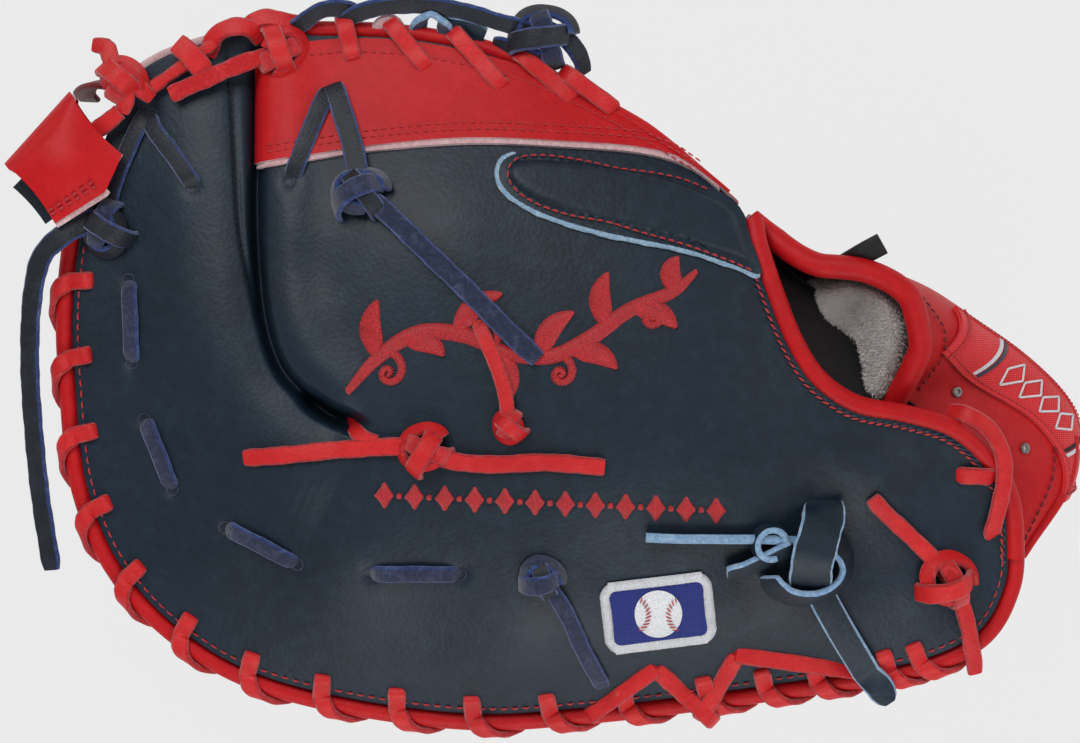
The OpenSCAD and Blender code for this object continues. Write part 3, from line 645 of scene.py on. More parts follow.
# ================= leather shells =================
def shell(name, outline, top, body, mat, stands_for, slot, rings=230, turns=900, thick=LEATHER_T):
    """One leather skin over an outline, finer towards its edge."""
    share = np.linspace(0, 1, rings) ** 0.85
    angles = np.arange(turns) * 2 * math.pi / turns
    s, a = np.meshgrid(share[1:], angles, indexing="ij")
    x, y = outline.ring(a, s)
    v = np.vstack([[[*MIDDLE, float(top(MIDDLE[0] + 0.01, MIDDLE[1]))]],
                   np.column_stack([x.ravel(), y.ravel(), top(x.ravel(), y.ravel())])])
    o = Pile().add(v, disc_faces(rings - 1, turns), 0, v[:, :2]).make(name, [mat], stands_for, slot, body,
            None)
    solid = o.modifiers.new("leather", "SOLIDIFY")
    solid.thickness = thick * MM
    solid.offset = -1
    return o


def leathers():
    """The outer and inner skins of both halves."""
    for name, outline, top, body, node, fineness in (
            ("finger_back_leather", back, back_top, FINGER, "finger_back_shell", (230, 900)),
            ("finger_palm_leather", palm, lambda x, y: palm_low(x, y) + LEATHER_T, FINGER,
             "finger_palm_shell", (50, 240)),
            ("thumb_palm_leather", thumb, thumb_top, THUMB, "thumb_palm_shell", (50, 240)),
            ("thumb_back_leather", thumb_back, lambda x, y: thumb_low(x, y) + LEATHER_T, THUMB,
             "thumb_back_shell", (60, 300))):
        shell(name, outline, top, body, NAVY, node, "navy leather", *fineness)


# ================= rolls, wraps and stitches along edges =================
def edge_run(outline, a, b):
    """The stretch of an outline between two of its points, counted as listed."""
    m, n = len(outline.line), OUTLINE_N
    return np.array([outline.line[i % m] for i in range(int(a * n), int(b * n) + 1)])


def outward(line):
    t = unit(np.gradient(line, axis=0))
    return unit(np.stack([-t[:, 1], t[:, 0], np.zeros(len(t))], -1))


def roll_line(line, out, drop):
    return line + outward(line) * out + UP * drop


def rim_wrap(pile, line, at, above, below, roll_z, roll_r, roll_out=ROLL_OUT, spread=15.5):
    """A turn of lace: out of a hole inside the edge, over the roll, then along it and underneath."""
    d, o3 = run_of(line), outward(line)
    inset = 5.6

    def spot(out, along):
        where = at - along
        e = np.array([np.interp(where, d, line[:, k]) for k in range(3)])
        o = unit(np.array([np.interp(where, d, o3[:, k]) for k in range(3)]))
        return e + o * out, o

    pts, outs = [], []
    for out, along, lift in ((-inset, 0.0, -1.8), (-inset + 0.9, 0.1, 0.6), (-inset * 0.55, 0.4, 1.35)):
        q, o = spot(out, along)
        pts.append([*q[:2], float(above(*q[:2])) + lift])
        outs.append(UP + o * (0.1 if lift > 0 else -0.5))
    r = roll_r + LACE_T / 2 + 0.15
    share = np.array([0.06, 0.12, 0.2, 0.32, 0.48, 0.66, 0.84, 1.0])
    for k, a in zip(share, np.radians([112, 86, 58, 30, 2, -28, -60, -90])):
        q, o = spot(roll_out, k * spread)
        ray = o * math.cos(a) + UP * math.sin(a)
        pts.append(q + UP * roll_z + ray * r)
        outs.append(ray)
    q, o = spot(-inset * 0.4, spread * 1.05)
    pts.append([*q[:2], min(float(below(*q[:2])) - LACE_T / 2, pts[-1][2])])
    outs.append(-UP)
    both = open_curve(np.hstack([np.array(pts), unit(np.array(outs))]), 4)
    add_lace(pile, both[:, :3], unit(both[:, 3:]), LACE_W, LACE_T, False, (0.75, 1.0), 0.02)


def finger_rim():
    rim = edge_run(back, *RIM_RUN)
    roll = Pile()
    add_tube(roll, spaced(roll_line(rim, ROLL_OUT, -1.2), 2.0), ROLL_R, n=18)
    roll.make("finger_rim_rolled_edge", [RED], "finger_rim_roll", "red leather")
    laces = Pile()
    total = length_of(rim)
    spots = [total - 40 - 23.5 * k for k in range(12)] + [118, 100, 84, 62, 52]
    for at in spots:
        if at > 24:
            rim_wrap(laces, rim, at, back_top, palm_low, -1.2, ROLL_R)
    laces.make("finger_rim_wrapped_lace", LACES_RED, "finger_rim_lace", "red lace")
    stitches = Pile()
    inner = rim - outward(rim) * 1.9
    pts, ups = on_back(inner, 0.1)
    add_stitches(stitches, pts, ups, 3.4, 2.2, 0.3)
    stitches.make("rim_stitches", [RED_THREAD], (), "red lace")


def rim_crossings():
    """Where the rim lace changes direction its strands cross on the face of the leather."""
    pile = Pile()
    for hole, target in (((35.2, -90.6), (18.5, -103.2)), ((35.4, -90.8), (50.0, -104.5)),
                         ((60.0, -86.6), (51.5, -102.5)),
                         ((60.2, -86.4), (94, -91.4))):
        a, b = np.array(hole), np.array(target)
        run = unit(b - a)
        crest = float(back.at(*b)[1]) + LEATHER_T + 1.2
        pts = [[*(a - run * 0.6), float(back_top(*a)) - 1.6],
               [*(a + run * 0.8), float(back_top(*(a + run))) + 1.0]]
        pts += [[*(a + (b - a) * k), float(back_top(*(a + (b - a) * k))) + 1.7] for k in (0.35, 0.65)]
        pts += [[*b, crest + 0.6], [*(b + run * 3.2), crest - 1.2], [*(b + run * 4.6), crest - 6]]
        strand(pile, pts, ends=(0.8, 1), wave=0.03)
    pile.make("finger_rim_crossing_lace", LACES_RED, (), "red lace")


def thumb_rim():
    rim = edge_run(thumb, 5.2, 18)
    roll = Pile()
    add_tube(roll, spaced(roll_line(rim, THUMB_ROLL_OUT, THUMB_ROLL_Z), 2.5), THUMB_ROLL_R, n=14)
    roll.make("thumb_rim_rolled_edge", [RED], "thumb_rim_roll", "red leather", body=THUMB)
    laces = Pile()
    total = length_of(rim)
    for k in range(19):
        rim_wrap(laces, rim, 22 + (total - 40) * k / 18, thumb_top, thumb_low, THUMB_ROLL_Z, THUMB_ROLL_R,
                 THUMB_ROLL_OUT, spread=9)
    laces.make("thumb_rim_wrapped_lace", LACES_RED, "thumb_rim_lace", "red lace", body=THUMB)


# ================= laces and knots on the finger back =================
def dense(points):
    return spaced(open_curve(points, 10), 1.3)


def on_back_line(points):
    """A line given by across, up the page and lift, laid on the finger back."""
    p = dense(points)
    return on_back(p[:, :2], p[:, 2])


def past_edge(points, beyond, ups_beyond):
    """A line laid on the finger back that goes on past its edge, with its outward directions."""
    line, ups = on_back_line(points)
    both = spaced(np.hstack([np.vstack([line, beyond]), np.vstack([ups, ups_beyond])]), 1.3)
    return both[:, :3], unit(both[:, 3:])


def strand(pile, points, out=UP, w=LACE_W, t=1.8, ends=(0.8, 0.8), wave=0.04):
    """A lace along points in space, its grain turned outward."""
    add_lace(pile, dense(points), unit(out), w, t, False, ends, wave)


def laid(pile, points, w=LACE_W, t=LACE_T, flip=False, ends=(0.55, 0.55)):
    line, ups = on_back_line(points)
    add_lace(pile, line, ups, w, t, flip, ends, 0.02)


def dash(a, b, bow=0.0, lift=1.0):
    """A visible stretch of lace that dives into a hole at each end."""
    a, b = np.array(a, float), np.array(b, float)
    side = np.array([-(b - a)[1], (b - a)[0]]) / np.linalg.norm(b - a) * bow
    share = [0, 0.08, 0.2, 0.5, 0.8, 0.92, 1]
    lifts = [-1.6, 0.1, 0.85 * lift, lift, 0.85 * lift, 0.1, -1.6]
    return [(*(a + (b - a) * s + side * (1 - (2 * s - 1) ** 2)), h) for s, h in zip(share, lifts)]


def local_frame(at, heading):
    p, up = on_back([at], 0.0)
    a = math.radians(heading)
    d = np.array([math.cos(a), math.sin(a), 0.0])
    d = unit(d - up[0] * (d @ up[0]))
    return p[0], d, np.cross(up[0], d), up[0]


def add_knot(pile, at, heading=0, size=1.0, w=LACE_W, t=LACE_T, flip=False, tilt=58):
    """An overhand knot pulled tight: a ring of lace standing on its edge and two bands that cross it."""
    p, d, c, up = at if len(at) == 4 else local_frame(at, heading)
    s = size * w / 5.4
    th = np.radians(np.linspace(38, 322, 40))[:, None]
    ray = d * np.cos(th) + c * np.sin(th)
    swell = 1 + 0.12 * np.sin(2 * th + 0.6)
    ring = p + ray * 5.4 * s * swell + up * (2.7 * s + 0.9 * s * np.cos(th + 0.8))
    add_lace(pile, ring, unit(ray + up * 0.55), w * 0.95, t, flip, (0.8, 0.8), 0.03)
    a = math.radians(tilt)
    run = d * math.cos(a) + c * math.sin(a)
    side = np.cross(up, run)
    th = np.radians(np.linspace(-116, 78, 26))[:, None]
    path = p - run * 1.2 * s + run * 5.8 * s * np.sin(th) + up * (6.9 * s * np.cos(th)
            + 0.6) + side * (0.9 * s * th - 1.0 * s)
    add_lace(pile, path, unit(run * np.sin(th) + up * np.cos(th)), w * 1.04, t, flip, None, 0.03)
    th = np.radians(np.linspace(-60, 112, 26))[:, None]
    other = unit(run * 0.35 - side)
    path = p + other * 0.9 * s + other * 6.0 * s * np.sin(th) + up * (5.3 * s * np.cos(th) + 0.4)
    add_lace(pile, path, unit(other * np.sin(th) + up * np.cos(th)), w, t, not flip, None, 0.03)


def tail(name, line, ups, w, t, mats, stands_for=(), slot="red lace", flip=False, ends=(0.9, 0.85),
         with_pieces=(),
         wave=0.03, stiffness="medium", lay="loose"):
    """A free end of lace."""
    pile = Pile()
    add_lace(pile, line, ups, w, t, flip, ends, wave)
    o = pile.make(name, mats, stands_for, slot)


def red_knots():
    knot = Pile()
    add_knot(knot, (-34.5, -22.5), -8, 1.12, 5.6, flip=False)
    middle_knot = knot.make("crotch_knot_red", LACES_RED, "crotch_knot", "red lace")
    left = on_back_line([(-35, -22.5, 2.6), (-44, -22.3, 2.2), (-58, -23.4, 1.2), (-74, -25, 1.4),
                         (-89, -26, 1.0)])
    tail("crotch_tail_left", *left, 5.4, 1.8, LACES_RED, "crotch_lace_tails", with_pieces=(middle_knot,))
    right = on_back_line([(-34, -23.5, 2.6), (-26, -26.6, 2.4), (-14, -27.8, 1.2), (2, -27.2, 1.3),
                          (19.5, -28.6, 1.2)])
    tail("crotch_tail_right", *right, 5.4, 1.8, LACES_RED)
    small = Pile()
    add_knot(small, (-9.5, -16.5), 75, 0.8, 4.6)
    laid(small, [(-9.5, -14, 2.4), (-10.5, -6, 1.8), (-13.5, 3, 1.4), (-17, 11, 1.0), (-19, 16, -1.4)], 4.6,
         1.6)
    small.make("small_knot_red", LACES_RED, "small_red_knot", "red lace")
    slit = Pile()
    laid(slit, [(-59, -10.5, -3), (-57, -15, -0.6), (-54.5, -19.5, 1.0), (-49, -21.5, 1.6)], 5.2, 1.7,
         ends=(0.9, 1.0))
    slit.make("crotch_lace_out_of_the_slit", LACES_RED, (), "red lace")
    heel = Pile()
    add_knot(heel, (124, -62.5), -50, 1.28, 5.8)
    heel_knot = heel.make("heel_knot_red", LACES_RED, "heel_knot", "red lace")
    up_left = on_back_line([(125, -63.5, 2.6), (119, -56.5, 2.2), (112, -49.5, 1.3), (104.5, -42.5, 1.4),
                            (100.5, -38, 1.0)])
    tail("heel_tail_upper", *up_left, 5.2, 1.7, LACES_RED, "heel_lace_tails", with_pieces=(heel_knot,))
    down = past_edge([(123.5, -60.5, 2.6), (127, -67.5, 2.4), (130.5, -77, 1.6), (132, -83, 1.0)],
                     [(133.2, -88.5, 74.5), (133.6, -92.5, 71.5)], [(0.25, -0.55, 0.8), (0.3, -0.75, 0.6)])
    tail("heel_tail_lower", *down, 5.2, 1.7, LACES_RED)


def navy_knots():
    knot = Pile()
    add_knot(knot, (-53.5, 54), -40, 1.18, 6.0, flip=True)
    web_knot = knot.make("web_knot_navy", LACES_NAVY, "web_back_knot", "navy lace")
    line = on_back_line([(-54, 54, 3.4), (-46, 47.5, 2.8), (-35, 37, 1.4), (-22, 24.5, 1.5),
                         (-9, 11.5, 1.2), (-0.5, 3.6, 1.0)])
    tail("web_tail_navy", *line, 6.2, 1.8, LACES_NAVY, "web_back_tail", "navy lace", flip=True,
         with_pieces=(web_knot,))
    small = Pile()
    add_knot(small, (1, -61.5), -58, 0.95, 5.4, flip=True)
    small_knot = small.make("small_knot_navy", LACES_NAVY, "small_navy_knot", "navy lace")
    line = on_back_line([(0.5, -61, 2.8), (4.5, -67, 2.4), (8.5, -74, 1.3), (13, -84, 1.3), (19, -95, 1.4)])
    tail("small_tail_navy", *line, 5.2, 1.7, LACES_NAVY, "small_navy_tail", "navy lace", flip=True,
         with_pieces=(small_knot,))
    legs = Pile()
    laid(legs,
         [(-75.5, 58.5, -1.4), (-73.5, 63, 1.2), (-69.5, 73, 2.8), (-65.5, 82, 2.8), (-63.5, 85.5, 0.5)],
         5.6, 1.8, False)
    laid(legs, [(-63, 87, -0.5), (-62.2, 85, 2.4), (-60, 79, 3.3), (-56.5, 68, 3.0), (-54, 57, 3.2)], 6.6,
         2.0, False)
    legs.make("web_lace_v_navy", LACES_NAVY, "web_back_lace", "navy lace")
    tip = Pile()
    laid(tip,
         [(-119.5, 78.5, -0.6), (-117.5, 74, 1.2), (-111.5, 66, 1.2), (-107, 59.5, 1.2), (-105, 56, -1.4)],
         5.6, 1.8, False)
    laid(tip,
         [(-119.5, 79.5, -0.6), (-122, 75, 1.3), (-127, 64, 1.2), (-130.5, 54, 1.3), (-130, 47.5, 1.6)],
         5.4, 1.7, False)
    tip.make("tip_lace_navy", LACES_NAVY, "tip_lace", "navy lace")
    loop = Pile()
    add_knot(loop, (-132.5, 43.5), 82, 1.12, 6.0)
    tip_knot = loop.make("tip_knot_navy", LACES_NAVY, "tip_knot", "navy lace")
    route = dense([(-137, 46, 88), (-146, 41, 90), (-152.5, 34, 86), (-155.6, 20, 80), (-156.4, 2, 76),
                   (-155.6, -16, 73),
                   (-153.6, -38, 70), (-150.2, -61, 67)])
    turn = smooth(np.linspace(0, 1, len(route)) * 2.2)[:, None]
    ups = unit(np.array([[-0.15, 0.0, 1.0]]) * (1 - turn) + np.array([[-0.55, 0.0, 1.0]]) * turn)
    tail("hanging_tail_navy", route, ups, 6.6, 1.9, LACES_NAVY, "hanging_tail", "navy lace",
         with_pieces=(tip_knot,),
         stiffness="limp", lay="hanging", ends=(0.9, 0.8))


def running_laces():
    pile = Pile()
    for a, b in DASHES:
        laid(pile, dash(a, b, 0.6, 1.25), 5.2, 1.8, True, ends=(0.6, 0.6))
    pile.make("running_lace_navy", LACES_NAVY, "running_lace", "navy lace")


def seam_and_holes():
    seam = Pile()
    run = spaced(SEAM[4:-6], 1.0)
    pts, ups = on_back(run - np.array([1.1, 0.1]), 0.15)
    add_stitches(seam, pts, ups, 2.6, 2.0, 0.32)
    seam.make("panel_seam_stitches", [BLACK], (), "navy lace")
    rims = Pile()
    for hole in HOLES + [(-63.5, 87), (127, -62.5)]:
        pts, ups = on_back(hole + 1.8 * circle(20, True), 0.12)
        add_tube(rims, pts, 0.24, n=6, outs=ups)
    rims.make("lace_hole_rims", [NAVY_SUEDE], (), "navy leather")


def thong():
    bow = Pile()
    p, d, c, up = local_frame((80, -58.5), 0)
    th = np.radians(np.linspace(192, 425, 46))[:, None]
    ray = d * np.cos(th) + c * np.sin(th)
    ring = p + d * 12.2 * np.cos(th) + c * 9.6 * np.sin(th) + up * (4.2 + 0.8 * np.cos(th))
    add_lace(bow, ring, unit(ray + up * 0.75), 9.5, 1.9, False, (0.7, 0.8), 0.03)
    line, ups = on_back_line([(86, -39.5, 0.5), (84.5, -42, 5.5), (81.5, -47, 9.5), (79.5, -53.5, 10.5),
                              (80, -60, 7.5), (81.5, -65, 2.5)])
    add_lace(bow, line, unit(ups + np.array([-0.25, 0, 0])), 13, 2.0, False, (0.9, 0.9), 0.02)
    small = p - d * 11.5 + c * 8.5
    th = np.radians(np.linspace(-20, 290, 34))[:, None]
    ray = d * np.cos(th) + c * np.sin(th)
    add_lace(bow, small + ray * 4.9 + up * 3.0, unit(ray + up * 0.2), 5.0, 1.9, False, (0.8, 0.8), 0.04)
    line, ups = on_back_line([(75, -52.5, 4.0), (69, -55, 3.6), (62, -58.4, 3.0), (56, -59.8, 2.6)])
    add_lace(bow, line, unit(ups + np.array([0.1, -0.7, 0])), 6.4, 1.9, False, (1, 0.7), 0.03)
    bow_piece = bow.make("thong_bow_navy", THONG_MATS, "thong_bow", "navy leather")
    left = on_back_line([(76, -50.5, 3.0), (66, -49.6, 2.9), (54, -49.6, 2.7), (42, -49.6, 2.6),
                         (32, -49.2, 2.4)])
    tail("thong_tail_narrow", left[0], unit(np.array([[0, 1.0, 0.12]])), 4.2, 2.6, THONG_MATS,
         "thong_tails", "navy leather",
         with_pieces=(bow_piece,), ends=(0.9, 0.7))
    down = past_edge([(81, -60, 2.6), (83, -64, 3.0), (87, -71, 2.8), (93, -80.5, 2.4), (99.5, -90, 3.2)],
                     [(103.5, -96, 78.8), (107.2, -101.4, 77.2)], [(0.1, -0.3, 1.0), (0.12, -0.35, 1.0)])
    tail("thong_tail_broad", *down, 8.8, 1.9, THONG_MATS, (), "navy leather", ends=(1.0, 0.45), wave=0.0)


def wrist_laces():
    pile = Pile()
    laid(pile, dash((126.8, -31.5), (138.4, -31.8), 0.4, 1.6), 5.4, 1.8)
    strand(pile,
           [(124.5, -12, 93), (130, -13.2, 98.5), (136.5, -17.5, 97.5), (140.6, -25, 95), (141.2, -33, 93),
                  (139.8, -41, 90.5), (138.0, -48.4, 87.6), (137.6, -50.2, 84.5)], [0.25, 0.1, 1], 5.2, 1.7,
                  (0.8, 0.7), 0.03)
    pile.make("wrist_lace_red", LACES_RED, "wrist_lace", "red lace")


# ================= panels, pads and rolls =================
PANEL_LOW = [(-85, 63), (-71, 65), (-49, 68), (-21, 70), (6, 69), (31, 67), (46, 62), (60, 50.5)]
PANEL_TOP = [(-85, 98), (-60, 101), (-36, 99.5), (-10, 93.5), (10, 85), (30, 74.5), (48, 62), (60, 51.5)]


def web_side_panel():
    n = 150
    low, high = (resampled(open_curve(points, 16), n) for points in (PANEL_LOW, PANEL_TOP))
    pile = Pile()
    add_sheet(pile, *surface_patch(low, high, 26, 0.2, 1.9), 0, 1)
    strip_w = unit(high - low) * 1.8
    end = 8
    strip = (low - strip_w * 0.8)[:-end], (low + strip_w * 0.2)[:-end]
    add_sheet(pile, *surface_patch(*strip, 3, 0.0, 1.4), 1, 1)
    pile.make("web_side_panel_leather", [RED, RED_EDGE], "web_side_panel", "red leather")
    sewn = Pile()
    rise = unit(high - low)
    for line in ((low + rise * 2.6)[4:-14], (low + rise * 4.6)[4:-14], (high - rise * 4.3)[3:-20]):
        add_stitches(sewn, *on_back(line, 2.1), 2.7, 1.9, 0.28)
    sewn.make("web_side_panel_stitches", [RED_THREAD], (), "red lace")


PAD_EDGE = [(-12.4, 60.4), (-11.6, 56), (-6.5, 51), (4, 46), (20, 41.4), (43, 36.6), (58, 31.8),
            (66.6, 29.2), (63.4, 40),
            (59.8, 49.6), (52, 54.8), (42, 59), (24.5, 63.2), (6, 65.4), (-5, 65.7), (-10.4, 63.9)]


def index_pad():
    line = closed_curve(PAD_EDGE, 14)
    middle = np.array([22.0, 52.0])
    n, rings = len(line), np.linspace(0, 1, 34)[1:]
    flat = disc_points(middle, line, rings)
    gap = np.linalg.norm(flat[:, None] - line[None, ::3], axis=2).min(1)
    puff = 1.5 + 1.9 * smooth(gap / 5.5) - 0.7 * np.exp(-(((gap - 2.7) / 0.7) ** 2))
    pts, ups = on_back(flat, puff)
    low, _ = on_back(line, -0.5)
    top = disc_faces(len(rings), n)
    o = 1 + (len(rings) - 1) * n
    wall = [(o + j, len(pts) + j, len(pts) + (j + 1) % n, o + (j + 1) % n) for j in range(n)]
    pile = Pile().add(np.vstack([pts, low]), top + wall, [0] * len(top) + [1] * len(wall))
    pad = pile.make("index_finger_pad_leather", [NAVY, NAVY_EDGE], "index_finger_pad", "navy leather")
    edge = Pile()
    raw = np.vstack([line[200:], line[:96]])
    raw, ups = on_back(raw + unit(raw - middle) * 0.35, 0.75)
    add_lace(edge, raw, ups, 1.9, 1.3, False, (0.5, 0.5), 0.12)
    edge.make("index_finger_pad_raw_edge", [NAVY_EDGE] * 3, (), "navy leather")
    sewn = Pile()
    run = np.vstack([line[140:], line[:94]])
    run = spaced(run - unit(run - middle) * 2.9, 1.0)
    pts, ups = on_back(run, 2.5)
    add_stitches(sewn, pts, ups, 2.8, 2.0, 0.3)
    sewn.make("index_finger_pad_stitches", [RED_THREAD], (), "red lace")


def opening():
    lip = edge_run(back, *OPENING_RUN)
    line = spaced(roll_line(lip, 2.0, 0.6), 1.6)
    roll = Pile()
    add_tube(roll, line, 3.1, n=18)
    roll.make("opening_rolled_edge", [RED], "opening_roll", "red leather")
    whip = Pile()
    run = spaced(lip, 1.0)
    pts, ups = on_back(run[:, :2] - outward(run)[:, :2] * 2.2, 0.4)
    add_stitches(whip, pts, ups, 2.6, 2.2, 0.31, mat=0, slant=0.3)
    shifted, ups = on_back(run[:, :2] - outward(run)[:, :2] * 1.5, 0.3)
    add_stitches(whip, shifted + unit(np.gradient(shifted, axis=0)) * 1.3, ups, 2.6, 2.0, 0.33, mat=1,
                 slant=0.3)
    whip.make("opening_whip_stitch", [RED_THREAD, NAVY_THREAD], (), "red lace")
    pile = Pile()
    hand_hole = edge_run(palm, 0.2, 6.2)
    wall_top = spaced(roll_line(lip, 0.2, -1.0), 2.0)
    n = len(wall_top)
    d = np.linspace(0, 1, len(hand_hole))
    base = np.stack([np.interp(np.linspace(0, 1, n), d, hand_hole[:, k]) for k in range(3)], 1)
    grid = np.array([wall_top * (1 - s) + (base + UP * 1.5) * s for s in np.linspace(0, 1, 6)])
    add_sheet(pile, grid, grid - outward(wall_top)[None] * 0.9)
    pile.make("opening_lining", [BLACK], (), "black lining")


def web_edge():
    rim = edge_run(back, *WEB_EDGE_RUN)
    line = spaced(roll_line(rim, 1.2, 1.4), 1.8)
    share = np.linspace(0, 1, len(line))
    line = line - UP * (5.5 * smooth((share - 0.8) / 0.2))[:, None]
    roll = Pile()
    add_tube(roll, line, 2.5, n=16, scale=np.interp(share, [0, 0.04, 0.78, 1], [0.7, 1, 1, 0.35]))
    roll.make("web_edge_rolled_binding", [RED], "web_edge_roll", "red leather")
    laces = Pile()
    for top, bottom in (((-59, 104), (-56.6, 94.6)), ((-43.5, 103.5), (-34.3, 92.2)),
                        ((-24, 100.6), (-11.3, 86.4)),
                        ((-3.5, 94.4), (10.4, 82.6)), ((10.4, 88.6), (22.6, 79.6))):
        a, b = np.array(top, float), np.array(bottom, float)
        out = unit(a - b)
        mid = [(b, -1.8), (b + out * 1.4, 2.6), (b * 0.5 + a * 0.5, 3.1)]
        pts = [[*q, float(back_top(*q)) + h] for q, h in mid]
        crest = float(back.at(*a)[1]) + LEATHER_T + 4.2
        pts += [[*a, crest], [*(a + out * 3.0), crest - 1.8], [*(a + out * 4.2), crest - 6.5]]
        tilt = np.array([*out, 0.0])
        outs = unit(np.array([UP, UP, UP + tilt * 0.1, UP + tilt * 0.5, UP + tilt * 1.6, tilt + UP * 0.1]))
        both = open_curve(np.hstack([np.array(pts), outs]), 5)
        add_lace(laces, both[:, :3], unit(both[:, 3:]), 5.4, 1.8, False, (0.75, 1), 0.02)
    laces.make("web_edge_wrapped_lace", LACES_RED, "web_edge_lace", "red lace")


# ================= embroidery and badge =================
def satin(pile, points, widths, lift=0.25, pitch=0.5, r=0.3, slant=0.35):
    """A ribbon of threads laid side by side across a line that swells and narrows."""
    width = open_curve(np.column_stack([widths, widths]), 14)[:, :1]
    line = spaced(np.column_stack([open_curve(points, 14), width]), pitch)
    t = unit(np.gradient(line[:, :2], axis=0))
    side = np.stack([-t[:, 1], t[:, 0]], 1)
    across = unit(side + t * slant)
    k = np.linspace(-1, 1, 7)
    flat = line[:, None, :2] + across[:, None] * (line[:, 2][:, None, None] / 2) * k[None, :, None]
    rise = lift + 0.75 * np.sqrt(np.clip(1 - k**2, 0, 1)) - 0.25 * np.abs(k) ** 6
    base, ups = on_back(flat.reshape(-1, 2), 0.0)
    base, ups = base.reshape(*flat.shape[:2], 3), ups.reshape(*flat.shape[:2], 3)
    jitter = chance.uniform(0.85, 1.15, len(line))
    for p, u, j in zip(base, ups, jitter):
        v, f, uv = sweep(p + u * rise[:, None], u, round_section(r * j, 5))
        pile.add(v, f, 0, uv)


def leaf(pile, root, heading, long, wide):
    a = math.radians(heading)
    d, c = np.array([math.cos(a), math.sin(a)]), np.array([-math.sin(a), math.cos(a)])
    share = np.array([0, 0.2, 0.45, 0.7, 0.9, 1.0])
    line = [tuple(np.array(root) + d * long * s + c * 0.12 * long * math.sin(math.pi * s)) for s in share]
    satin(pile, line, wide * np.array([0.25, 0.75, 1.0, 0.8, 0.4, 0.1]))


def curl(pile, start, heading, size, turn):
    """A spiral tendril."""
    a = math.radians(heading)
    pts, p = [np.array(start, float)], np.array(start, float)
    for k in range(14):
        step = size * (1 - k / 17)
        p = p + step * np.array([math.cos(a), math.sin(a)])
        pts.append(p)
        a += math.radians(turn) * (1 + k * 0.12)
    satin(pile, pts, 2.4 * np.linspace(1, 0.6, len(pts)))


def scroll():
    """A leafy vine in satin stitch."""
    pile = Pile()
    stem = [(-58, -6), (-49, 4), (-37, 11.5), (-23, 11), (-10, 5.5), (3, 4.5), (15, 10), (27, 18.5),
            (40, 24), (47, 30)]
    satin(pile, stem, [2.0, 4.0, 4.8, 4.8, 4.2, 4.4, 4.8, 4.4, 3.6, 1.4])
    curve = open_curve(stem, 10)
    for share, side, long in ((0.12, 1, 15), (0.2, -1, 11), (0.32, 1, 16), (0.42, -1, 14), (0.53, 1, 15),
                              (0.62, -1, 13), (0.72, 1, 14), (0.8, -1, 12), (0.9, 1, 9)):
        i = int(share * (len(curve) - 2))
        d = curve[i + 1] - curve[i]
        leaf(pile, curve[i], math.degrees(math.atan2(d[1], d[0])) + side * 50, long * 1.15, 7.0)
    for tendril in (((-45, 6), -38, 2.5, -22), ((6, 5), -30, 2.4, -24), ((-14, 7), 62, 2.3, 24),
                    ((34, 21), -40, 2.1, -25)):
        curl(pile, *tendril)
    pile.make("embroidered_vine", [RED_THREAD], "embroidered_scroll", "red lace")


def diamond_band():
    pile = Pile()
    for k in range(12):
        x, y = -47 + k * 9.1, -37.4 - k * 0.42
        diamond = [(x + off, y) for off in (-2.6, -1.2, 0, 1.2, 2.6)]
        satin(pile, diamond, [0.5, 4.2, 7.6, 4.2, 0.5], 0.1, 0.42, 0.26, 0)
        if k < 11:
            dot = [(x + off, y - 0.2) for off in (4.0, 4.55, 5.1)]
            satin(pile, dot, [1.2, 1.8, 1.2], 0.1, 0.4, 0.22, 0)
    pile.make("embroidered_diamonds", [RED_THREAD], "embroidered_band", "red lace")


BADGE_AT = np.array([35.8, -73.0])
BADGE_L = 33.5
BADGE_W = 21.5
BADGE_TILT = 7.0


def rounded_box(long, wide, corner, n=8):
    pts = []
    for k, (sx, sy) in enumerate(((1, 1), (-1, 1), (-1, -1), (1, -1))):
        for a in np.linspace(0, 90, n) + 90 * k:
            pts.append((sx * (long / 2 - corner) + corner * math.cos(math.radians(a)),
                        sy * (wide / 2 - corner) + corner * math.sin(math.radians(a))))
    a = math.radians(BADGE_TILT)
    p = np.array(pts)
    return BADGE_AT + p @ np.array([[math.cos(a), math.sin(a)], [-math.sin(a), math.cos(a)]])


def badge():
    edge = rounded_box(BADGE_L - 3, BADGE_W - 3, 2.6)
    pile = Pile()
    rings = np.linspace(0, 1, 12)[1:]
    pile.add(on_back(disc_points(BADGE_AT, edge, rings), 1.0)[0], disc_faces(len(rings), len(edge)))
    pile.make("badge_cloth", [BLUE_CLOTH], "badge_field", "blue cloth")
    disc = Pile()
    n = 40
    flat = np.vstack([[BADGE_AT]] + [BADGE_AT + circle(n) * r for r in (2, 4, 6, 7.2)])
    lifts = np.r_[1.75, np.repeat([1.7, 1.65, 1.5, 1.1], n)]
    disc.add(on_back(flat, lifts)[0], disc_faces(4, n))
    for side in (-1, 1):
        seam = np.array([(BADGE_AT[0] + side * (8.6 - 5.6 * math.cos(b)), BADGE_AT[1] + 5.6 * math.sin(b))
                         for b in np.linspace(-0.92, 0.92, 30)])
        pts, ups = on_back(seam, 1.75)
        add_stitches(disc, pts, ups, 1.25, 2.0, 0.2, mat=1, slant=1.6 * side)
    disc.make("badge_ball", [WHITE_THREAD, RED_THREAD], (), "white thread")
    border = Pile()
    line = rounded_box(BADGE_L - 2.4, BADGE_W - 2.4, 3.4, 14)
    satin(border, np.vstack([line, line[:1]]), np.full(len(line) + 1, 2.6), 0.75, 0.5, 0.33, 0.0)
    border.make("badge_merrowed_border", [WHITE_THREAD], "badge_border", "white thread")


